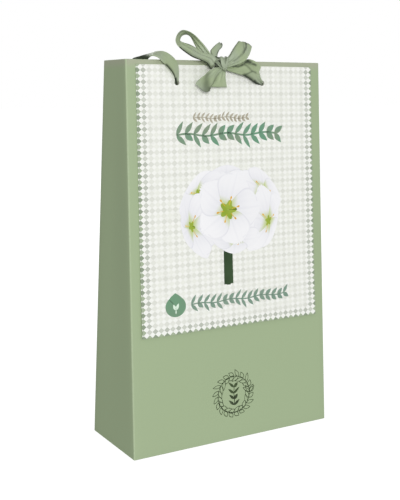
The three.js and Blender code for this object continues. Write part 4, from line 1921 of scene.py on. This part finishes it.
    def bridges(self) -> tuple[Strip, Strip]:
        """Makes the folds that show in the knot's hollow: one along its top and one down across it.

        Returns:
            Both folds.
        """
        top = self.on(
            self.front,
            (-18, 3.8, 6, -18.7, -0.7, 7), (-16.8, 3, 7.5, -17.5, -0.5, 8.5),
            (-13.9, 2.4, 8.5, -14.3, -0.2, 9), (-9.1, 2.3, 8.5, -9.5, -0.7, 9),
            (-3.8, 2.5, 7, -4.2, -0.9, 7.5),
        )
        across = self.on(
            self.front,
            (-17.7, 0.6, 8.5, -19.4, -1.9, 8), (-17.1, -1.3, 10.4, -18.5, -3.5, 10),
            (-15.3, -3.7, 11.2, -16.6, -5.9, 10.8), (-13.1, -5.7, 11, -14.1, -8, 10.4),
            (-10.1, -7, 9, -11, -8.8, 9),
        )
        top_marks = (
            Mark(((0.6, 0.0), (4.0, 0.0)), 0.7, 0.0, 0.85),
            Mark(((0.8, 0.05), (1.5, 0.05)), 1.1, 0.0, 0.9),
        )
        across_marks = (
            Mark(((0.5, 0.0), (3.5, 0.0)), 0.4, 0.0, 0.4),
            Mark(((2.6, 0.1), (4.0, 0.1)), 1.2, 0.0, 0.4),
        )
        return Strip(top, top_marks, cup=0.4), Strip(across, across_marks, cup=0.5)

    @staticmethod
    def smooth_line(points: np.ndarray, steps: int) -> np.ndarray:
        """Draws a centripetal Catmull-Rom curve through points.

        Args:
            points: The points, one a row.
            steps: How many steps each span takes.

        Returns:
            The curve's points.
        """
        ends = (2 * points[0] - points[1], 2 * points[-1] - points[-2])
        whole = np.vstack([ends[0], points, ends[1]])
        share = np.linspace(0, 1, steps, endpoint=False)[:, None]
        spans = []
        for p0, p1, p2, p3 in zip(whole, whole[1:], whole[2:], whole[3:]):
            pairs = ((p0, p1), (p1, p2), (p2, p3))
            d0, d1, d2 = (max(math.sqrt(np.linalg.norm(b - a)), TINY) for a, b in pairs)
            start = ((p1 - p0) / d0 - (p2 - p0) / (d0 + d1) + (p2 - p1) / d1) * d1
            end = ((p2 - p1) / d1 - (p3 - p1) / (d1 + d2) + (p3 - p2) / d2) * d1
            cubic = 2 * p1 - 2 * p2 + start + end
            square = -3 * p1 + 3 * p2 - 2 * start - end
            spans.append(p1 + start * share + square * share**2 + cubic * share**3)
        return np.vstack([*spans, points[-1]])

    def section(self, strip: Strip, chord: np.ndarray) -> tuple[np.ndarray, np.ndarray, np.ndarray]:
        """Works out the strip's cross-section at each row, in millimetres.

        Args:
            strip: The strip.
            chord: The distance between the strip's edges at each row.

        Returns:
            How far each point lies across, how deep it is folded under, and the width left for pleats.
        """
        wide, count = chord[:, None], self.middle_columns
        if not strip.tuck:
            shares = np.linspace(self.middle_start, 1 - self.middle_start, count)
            shares = np.r_[self.edge_shares, shares, 1 - np.array(self.edge_shares[::-1])]
            across = wide * shares
            return across, np.zeros_like(across), np.full_like(chord, self.width)
        bend = self.bend
        flat = chord - 2 * bend
        least, most = self.tuck_limits
        under = np.clip((self.width - flat - 2 * math.pi * bend) / 2, least, most * flat)
        angles = np.linspace(0, math.pi, self.bend_steps)[:0:-1]
        tucked = bend + under[:, None] * np.array(self.tuck_shares)
        edge = np.hstack([tucked, bend - bend * np.sin(angles) + 0 * wide])
        across = np.hstack([edge, bend + flat[:, None] * np.linspace(0, 1, count), (wide - edge)[:, ::-1]])
        depth = np.concatenate([[2 * bend] * len(self.tuck_shares), bend - bend * np.cos(angles)])
        depth = np.concatenate([depth, np.zeros(count), depth[::-1]])
        return across, depth + 0 * across, self.width - 2 * (math.pi * bend + under) + 2 * bend

    def surface(self, strip: Strip) -> tuple[np.ndarray, np.ndarray, np.ndarray, dict[str, Any]]:
        """Works out a strip's middle surface.

        Args:
            strip: The strip.

        Returns:
            Its points in metres (rows along by columns across), its unit normals, the length along in
            metres, and the values for its points.
        """
        edges = []
        for k in (0, 3):
            places = np.array([panel.at(*row[k : k + 3]) for panel, row in strip.stations])
            edges.append(self.smooth_line(places, self.steps))
        span = edges[1] - edges[0]
        chord = np.linalg.norm(span, axis=-1) / MM
        way = span / chord[:, None] / MM
        middle = (edges[0] + edges[1]) / 2
        normal = np.cross(np.gradient(middle, axis=0), way)
        normal /= np.linalg.norm(normal, axis=-1, keepdims=True)
        reach = np.cumsum(np.r_[0, np.linalg.norm(np.diff(middle, axis=0), axis=-1)]) / MM
        station = np.arange(len(reach)) / self.steps
        across, depth, spread = self.section(strip, chord)
        share = np.clip(across / chord[:, None], 0, 1)
        spare = strip.gather * np.sqrt(np.clip(spread**2 - chord**2, 0, None)) / (4 * strip.pleats)
        height = spare[:, None] * np.sin(2 * math.pi * (strip.pleats * share + strip.phase))
        height *= np.sin(math.pi * share) ** 0.5
        height += strip.cup * (4 * share * (1 - share)) * np.sin(math.pi * reach / reach[-1])[:, None]
        seen = depth < self.bend
        # The underside between the two stations is painted dark, as painted shade.
        start, end, strength = strip.underside_shade
        inside = strength * self.rise(station, start) * (1 - self.rise(station, end))
        clear = [1 - inside[:, None] * (seen == (face < 0)) for face in (1, -1)]
        # Each mark sinks or raises the strip and paints shade along its line.
        for mark in strip.marks:
            weight = mark.weight(station, reach, chord, across) * seen
            height += mark.depth * weight
            clear = [tone * (1 - mark.shade * weight) for tone in clear]
        height -= strip.tuck * depth
        points = edges[0][:, None] + way[:, None] * across[..., None] * MM
        points += normal[:, None] * height[..., None] * MM
        near_end = np.clip(1 - (reach[-1] - reach) / self.cut_reach, 0, 1) ** 2
        ahead = (middle[-1] - middle[-2]) / np.linalg.norm(middle[-1] - middle[-2])
        points += (strip.cut * MM * near_end[:, None] * self.cut_curve(share))[..., None] * ahead
        outward = np.cross(np.gradient(points, axis=0), np.gradient(points, axis=1))
        size = np.linalg.norm(outward, axis=-1, keepdims=True)
        outward = np.where(size > TINY**3, outward / np.maximum(size, TINY**3), normal[:, None])
        step = np.hypot(np.diff(across, axis=1), np.diff(depth, axis=1))
        thread = np.cumsum(np.hstack([np.zeros((len(reach), 1)), step]), axis=1) / self.width
        return points, outward, reach * MM, {"v": thread, "shade": tuple(1 - tone for tone in clear)}

    @staticmethod
    def cut_curve(share: np.ndarray) -> np.ndarray:
        """Rises from 0 at both edges to 1 at two thirds of the way across."""
        return 27 / 4 * share**2 * (1 - share)

    @staticmethod
    def rise(station: np.ndarray, centre: float) -> np.ndarray:
        """Rises from 0 to 1 over one station about a centre."""
        share = np.clip(station - centre + 0.5, 0, 1)
        return share * share * (3 - 2 * share)

    def knot_core(self, draft: Draft) -> None:
        """Adds the bundle inside the knot, as a creased lump painted dark as painted shade.

        Args:
            draft: The mesh that it joins.
        """
        turns = np.linspace(0, 2 * math.pi, 49)[None, :]
        falls = np.linspace(0.02, math.pi - 0.02, 25)[:, None]
        crease = 1 + self.crease_depth * np.sin(self.core_creases * turns + 2 * falls) * np.sin(falls)
        core = np.array(self.knot) + self.core_shift
        ways = (np.cos(falls) + 0 * turns, np.sin(falls) * np.cos(turns), np.sin(falls) * np.sin(turns))
        parts = zip(core, self.core_radii, ways)
        outside = self.front.at(*(centre + radius * crease * way for centre, radius, way in parts))
        middle = self.front.at(*core)
        inside = middle + (outside - middle) * self.core_wall
        u, v = self.width * MM * falls + 0 * turns, turns / (2 * math.pi) + 0 * falls
        # The core is painted dark all over, as painted shade in the knot's hollow.
        draft.sheet(outside, inside, u=u, v=v, shade=self.core_shade)

    def build(self) -> None:
        draft = Draft()
        total = 0.0
        loops = (self.left_loop(), self.right_loop())
        for strip in (*self.laced(), *loops, *self.tails(), *self.bridges(), self.wrap()):
            points, outward, reach, values = self.surface(strip)
            half = outward * self.thickness * MM / 2
            u = (reach + total)[:, None] + 0 * values["v"]
            draft.sheet(points + half, points - half, u=u, **values)
            total += reach[-1]
        self.knot_core(draft)
        LOG.info("ribbon: %.3f m along its strips", total)
        piece = new_piece("ribbon_bow", draft.mesh("ribbon_bow", (SATIN.material(),)))
        seat(piece, "satin_ribbon", "ribbon")
        flat, under = (self.width * MM, self.flat_length), ["card_bag", "face_card_sheet"]


# ---- The studio ----


@dataclass(frozen=True)
class SoftLight:
    """A square soft light: where it stands, how wide it is and its power."""

    name: str
    place: tuple[float, float, float]
    width: float
    power: float

    def build(self, target: Vector) -> None:
        """Makes the light.

        Args:
            target: The place that it is turned to.
        """
        data = bpy.data.lights.new(self.name, "AREA")
        data.size = self.width
        data.energy = self.power
        light = new_piece(self.name, data)
        light.location = self.place
        light.rotation_euler = (target - Vector(self.place)).to_track_quat("-Z", "Y").to_euler()


@dataclass
class Studio:
    """The floor, the lights and the camera."""

    camera_place: tuple[float, float, float] = (-0.46467, -0.76702, 0.33231)
    turn: float = 30.458
    dip: float = 7.165
    lens: float = 65.9
    shift: float = -0.08
    floor_size: float = 40.0
    floor_level: float = -0.0002
    surround: float = 0.335
    ahead: float = 0.29

    def build(self) -> None:
        """Makes the whole studio."""
        view = bpy.context.scene.view_settings
        view.view_transform = "Standard"
        view.look = "None"
        self.camera()
        self.floor()
        self.world()
        target = (CAD_BOX[0] + CAD_BOX[1]) / 2
        for light in (
            SoftLight("key_light", (-1.42, -2.84, 0.78), 0.8, 49.8),
            SoftLight("back_light", (0.9, 2.2, 1.4), 1.6, 25.7),
        ):
            light.build(target)

    def camera(self) -> None:
        """Makes the camera."""
        data = bpy.data.cameras.new("camera")
        data.lens = self.lens
        data.shift_y = self.shift
        data.clip_end = 100.0
        camera = new_piece("camera", data)
        turn, dip = math.radians(self.turn), math.radians(self.dip)
        ahead = Vector((math.sin(turn) * math.cos(dip), math.cos(turn) * math.cos(dip), -math.sin(dip)))
        camera.location = self.camera_place
        camera.rotation_euler = ahead.to_track_quat("-Z", "Y").to_euler()
        bpy.context.scene.camera = camera

    def floor(self) -> None:
        """Makes the floor, which the camera sees but which throws no light up."""
        half, level = self.floor_size / 2, self.floor_level
        corners = [(x * half, y * half, level) for x, y in ((-1, -1), (1, -1), (1, 1), (-1, 1))]
        mesh = bpy.data.meshes.new("studio_floor")
        mesh.from_pydata(corners, [], [(0, 1, 2, 3)])
        mesh.materials.append(FLOOR.material())
        floor = new_piece("studio_floor", mesh)
        floor.visible_diffuse = False
        floor.visible_glossy = False

    def world(self) -> None:
        """Makes a plain white surround, brighter before the bag than behind it."""
        world = bpy.data.worlds.new("soft_surround")
        bpy.context.scene.world = world
        world.use_nodes = True
        world.node_tree.nodes.clear()
        graph = Graph(world.node_tree)
        way = graph.get("ShaderNodeTexCoord", "Generated")
        ahead = graph.maths("MAXIMUM", -graph.axis(way, "Y"), 0.0)
        soft, white = (
            graph.get("ShaderNodeBackground", 0, {"Color": (1, 1, 1, 1), "Strength": glow})
            for glow in (self.surround + self.ahead * ahead, 1.0)
        )
        seen = graph.get("ShaderNodeLightPath", "Is Camera Ray")
        mixed = graph.get("ShaderNodeMixShader", 0, {0: seen, 1: soft, 2: white})
        output = graph.add("ShaderNodeOutputWorld")
        graph.feed(output.inputs["Surface"], mixed)


def main() -> None:
    """Builds the studio and the bag in order."""
    logging.basicConfig(level=logging.INFO, format="%(name)s: %(message)s")
    Studio().build()
    shape, holes = BagShape.from_frame(), Holes()
    bag = CardBag(shape, holes)
    bag.build()
    bag.dress_board()
    card = FaceCard.from_frame(shape, holes)
    card.build()
    Prints(card, shape.panel(Side.FRONT)).build()
    Ribbon(shape.panel(Side.FRONT), shape.panel(Side.BACK)).build()


if __name__ == "__main__":
    main()
